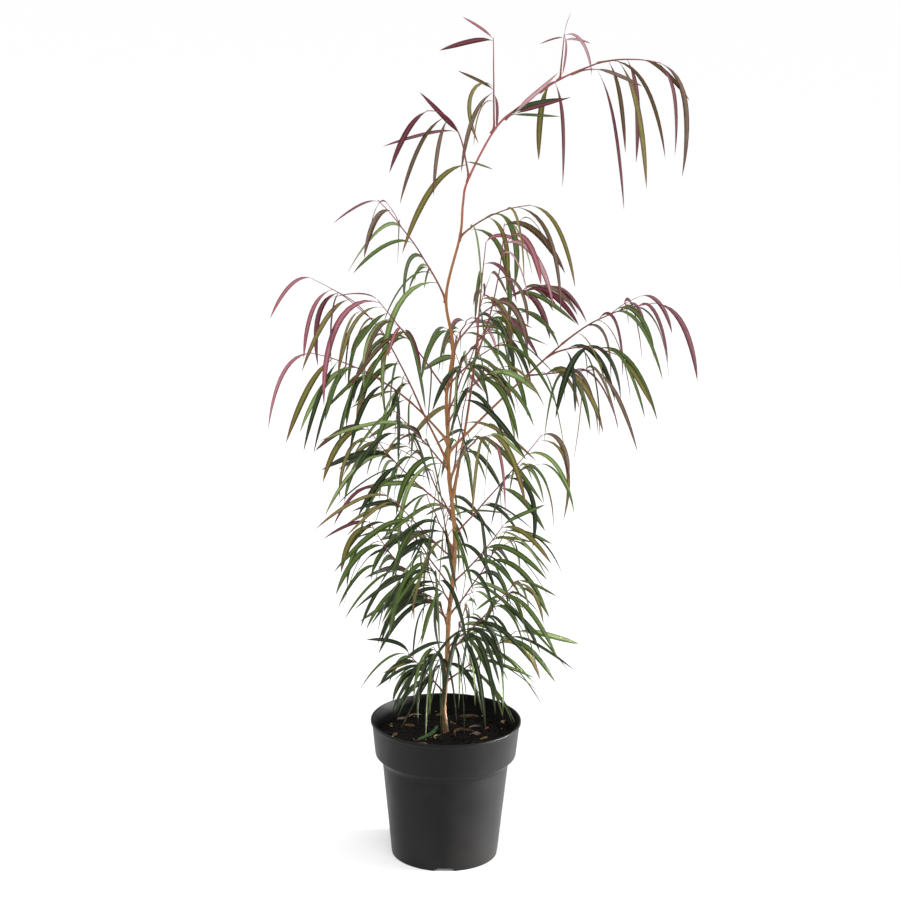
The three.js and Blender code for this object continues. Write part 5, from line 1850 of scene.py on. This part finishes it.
@dataclass
class Foliage:
    """The leaves: thin folded blades that arch over and hang, joined by their kind."""

    shrub: Shrub
    widths: Range = (4.6, 8.2)
    thickness: float = 0.45
    edge_thickness: float = 0.5
    full_length: float = 80.0
    fold: float = 16.0
    fold_shares: Range = (0.4, 1.3)
    sickle: float = 22.0
    sickle_middle: float = 0.25
    twist: float = 38.0
    twist_middle: float = 0.4
    first_roll: float = 0.35
    rolled_by: float = 0.22
    curve_steps: int = 60
    blade_rings: int = 15
    ring_spread: float = 1.12
    outline: tuple[Pair, ...] = (
        (0.0, 0.1), (0.04, 0.14), (0.09, 0.4), (0.18, 0.74), (0.3, 0.95), (0.45, 1.0),
        (0.6, 0.95), (0.74, 0.8), (0.86, 0.52), (0.94, 0.26), (1.0, 0.02),
    )

    def blade(self, axis: Axis, leaf: Leaf) -> tuple[Array, Array]:
        """Return the rings of four points that shape one leaf of an axis, and each ring's place along it."""
        wide, bend, turn, fold = draws(leaf.seed * 3 + 1, 4)
        shares = (np.arange(self.curve_steps) + 0.5) / self.curve_steps
        sickle = self.sickle * (2 * bend - 1)
        ways = leaf.way(shares)
        turned = np.radians(sickle * (shares - self.sickle_middle) * 2)
        cos, sin = np.cos(turned), np.sin(turned)
        ways = np.stack([
            ways[:, 0] * cos - ways[:, 1] * sin,
            ways[:, 0] * sin + ways[:, 1] * cos,
            ways[:, 2],
        ], axis=-1)
        line = np.vstack([np.zeros(3), np.cumsum(ways * leaf.length / self.curve_steps, axis=0)])
        places = np.linspace(0, 1, self.blade_rings) ** self.ring_spread
        whole = np.linspace(0, 1, self.curve_steps + 1)
        root = spline(axis.points, np.array([leaf.place]))[0]
        middle = root + np.stack([np.interp(places, whole, line[:, k]) for k in range(3)], axis=-1)
        along = unit(np.stack([np.interp(places, shares, ways[:, k]) for k in range(3)], axis=-1))
        side = side_of(leaf.azimuth)
        side = unit(side - along * (along @ side)[:, None])
        over = np.cross(along, side)
        settled = lerp(self.first_roll, 1, np.clip(places / self.rolled_by, 0, 1))
        twist = self.twist * (2 * turn - 1) * (places - self.twist_middle)
        roll = np.radians(leaf.roll * settled + twist)
        across = side * np.cos(roll)[:, None] + over * np.sin(roll)[:, None]
        upper = np.cross(along, across)
        size = min(1.0, leaf.length / self.full_length)
        slim = np.interp(places, *zip(*self.outline, strict=True))
        half = lerp(*self.widths, wide) / 2 * size * slim
        lift = math.radians(self.fold * lerp(*self.fold_shares, fold))
        thick = self.thickness * lerp(self.edge_thickness, 1, np.sqrt(slim))
        edge = across * (half * math.cos(lift))[:, None]
        raised = upper * (half * math.sin(lift))[:, None]
        depth = upper * (thick / 2)[:, None]
        corners = (middle - depth, middle + edge + raised, middle + depth, middle - edge + raised)
        return np.stack(corners, axis=1), places

    @staticmethod
    def palette_of(growth: Growth) -> Palette:
        """Return the palette of a shoot, which goes by its spray and by how high it starts."""
        foot = growth.axes[0].points[0][2]
        spray = growth.shoot.spray
        if foot < LOW_FOOT:
            return LOW_PALETTE
        if foot < MIDDLE_FOOT and spray is Spray.OLIVE:
            return MIDDLE_PALETTE
        if foot > HIGH_FOOT and spray is Spray.GREEN:
            return HIGH_PALETTE
        return PALETTES[spray]

    def build(self) -> None:
        """Build and dress the leaves, one piece for each kind."""
        batches = {tint: MeshBatch() for tint in Tint}
        nodes: dict[Tint, set[str]] = {tint: set() for tint in Tint}
        counts = {tint: 0 for tint in Tint}
        across = np.array([0.5, 1.0, 0.5, 0.0])
        for growth in self.shrub.growths:
            palette = self.palette_of(growth)
            own_tints = tints(OWN_TINTS.get(growth.shoot.name, ""))
            for axis, leaf in growth.leaves:
                chance = draws(leaf.seed * 5 + 3, 1)[0]
                tint = palette.pick(min(leaf.age, 1.0), chance)
                if axis is growth.axes[0] and 0 <= leaf.own < len(own_tints):
                    tint = own_tints[leaf.own]
                rings, along = self.blade(axis, leaf)
                ages = np.full(len(along), leaf.age)
                batches[tint].add(rings, across, along, ages, (1, 0, 0, 1), ridges=(0, 2))
                nodes[tint].add(growth.shoot.name)
                counts[tint] += 1
        for tint, batch in batches.items():
            finish = tint.value
            piece = batch.build(finish.name, finish.materials())
            LOG.info("%s: %d leaves", finish.name, counts[tint])
            dress(piece, sorted(nodes[tint]))


@dataclass
class Studio:
    """The floor, the soft lights and the camera."""

    floor_side: float = 60.0
    world: float = 0.42
    lamp_spread: float = 70.0
    lamp_power: float = 2.55
    lamp_turn: tuple[float, float, float] = (32.0, -14.0, 0.0)
    right_power: float = 52.0
    left_power: float = 18.0
    flank_power: float = 2.3
    flank_spread: float = 12.0
    camera_place: tuple[float, float, float] = (0.001, -3.0, 1.304)
    pitch: float = 14.47
    roll: float = 0.7
    focal_pixels: float = 2519.0
    picture_side: float = 900.0
    sensor: float = 36.0

    def floor(self) -> None:
        """Build the floor."""
        shape = bmesh.new()
        bmesh.ops.create_grid(shape, x_segments=1, y_segments=1, size=self.floor_side / 2)
        piece = object_of(shape, "floor", smooth=False)
        piece.data.materials.append(FloorFinish().material())

    def light(self, name: str, place: Sequence[float], aim: Sequence[float], size: float,
              power: float, spread: float = 180.0) -> None:
        """Add a soft square light that points at a place, and spreads by so many degrees."""
        data = bpy.data.lights.new(name, "AREA")
        data.shape = "SQUARE"
        data.size = size
        data.energy = power
        data.spread = math.radians(spread)
        turn = (Vector(aim) - Vector(place)).to_track_quat("-Z", "Y").to_matrix().to_4x4()
        linked(name, data).matrix_world = Matrix.Translation(place) @ turn

    def lights(self) -> None:
        """Add a broad soft lamp from above, the soft side lights and the pale surroundings."""
        world = bpy.data.worlds.new("studio")
        world.use_nodes = True
        background = world.node_tree.nodes["Background"]
        background.inputs["Color"].default_value = (1, 1, 1, 1)
        background.inputs["Strength"].default_value = self.world
        bpy.context.scene.world = world
        data = bpy.data.lights.new("overhead", "SUN")
        data.angle = math.radians(self.lamp_spread)
        data.energy = self.lamp_power
        linked("overhead", data).rotation_euler = [math.radians(angle) for angle in self.lamp_turn]
        self.light("right", (2.5, 0.2, 0.9), (0, 0, 0.2), 2.4, self.right_power)
        self.light("left", (-2.4, 0.9, 0.9), (0, 0, 0.2), 1.4, self.left_power)
        self.light("flank", (1.6, 0.0, 0.16), (0, 0, 0.05), 0.34, self.flank_power, self.flank_spread)
        bpy.context.scene.view_settings.view_transform = "Standard"

    def camera(self) -> None:
        """Add the camera, where the photograph was taken from."""
        data = bpy.data.cameras.new("camera")
        data.sensor_width = self.sensor
        data.lens = self.focal_pixels / self.picture_side * self.sensor
        tilt = Matrix.Rotation(math.radians(90 - self.pitch), 4, "X")
        turn = Matrix.Rotation(math.radians(self.roll), 4, "Z")
        camera = linked("camera", data)
        camera.matrix_world = Matrix.Translation(self.camera_place) @ tilt @ turn
        bpy.context.scene.camera = camera

    def build(self) -> None:
        """Build the studio."""
        self.camera()
        self.floor()
        self.lights()


def main() -> None:
    """Build the studio, the pot, the mix and the plant."""
    logging.basicConfig(level=logging.INFO, format="%(message)s")
    Studio().build()
    NurseryPot().build()
    mix = PottingMix()
    mix.build()
    Litter(mix).build()
    shrub = Shrub(Fineness())
    total = sum(len(growth.leaves) for growth in shrub.growths)
    LOG.info("leaves: %d in the solids, %d in all", shrub.solid_leaves, total)
    Wood(shrub).build()
    Foliage(shrub).build()


if __name__ == "__main__":
    main()
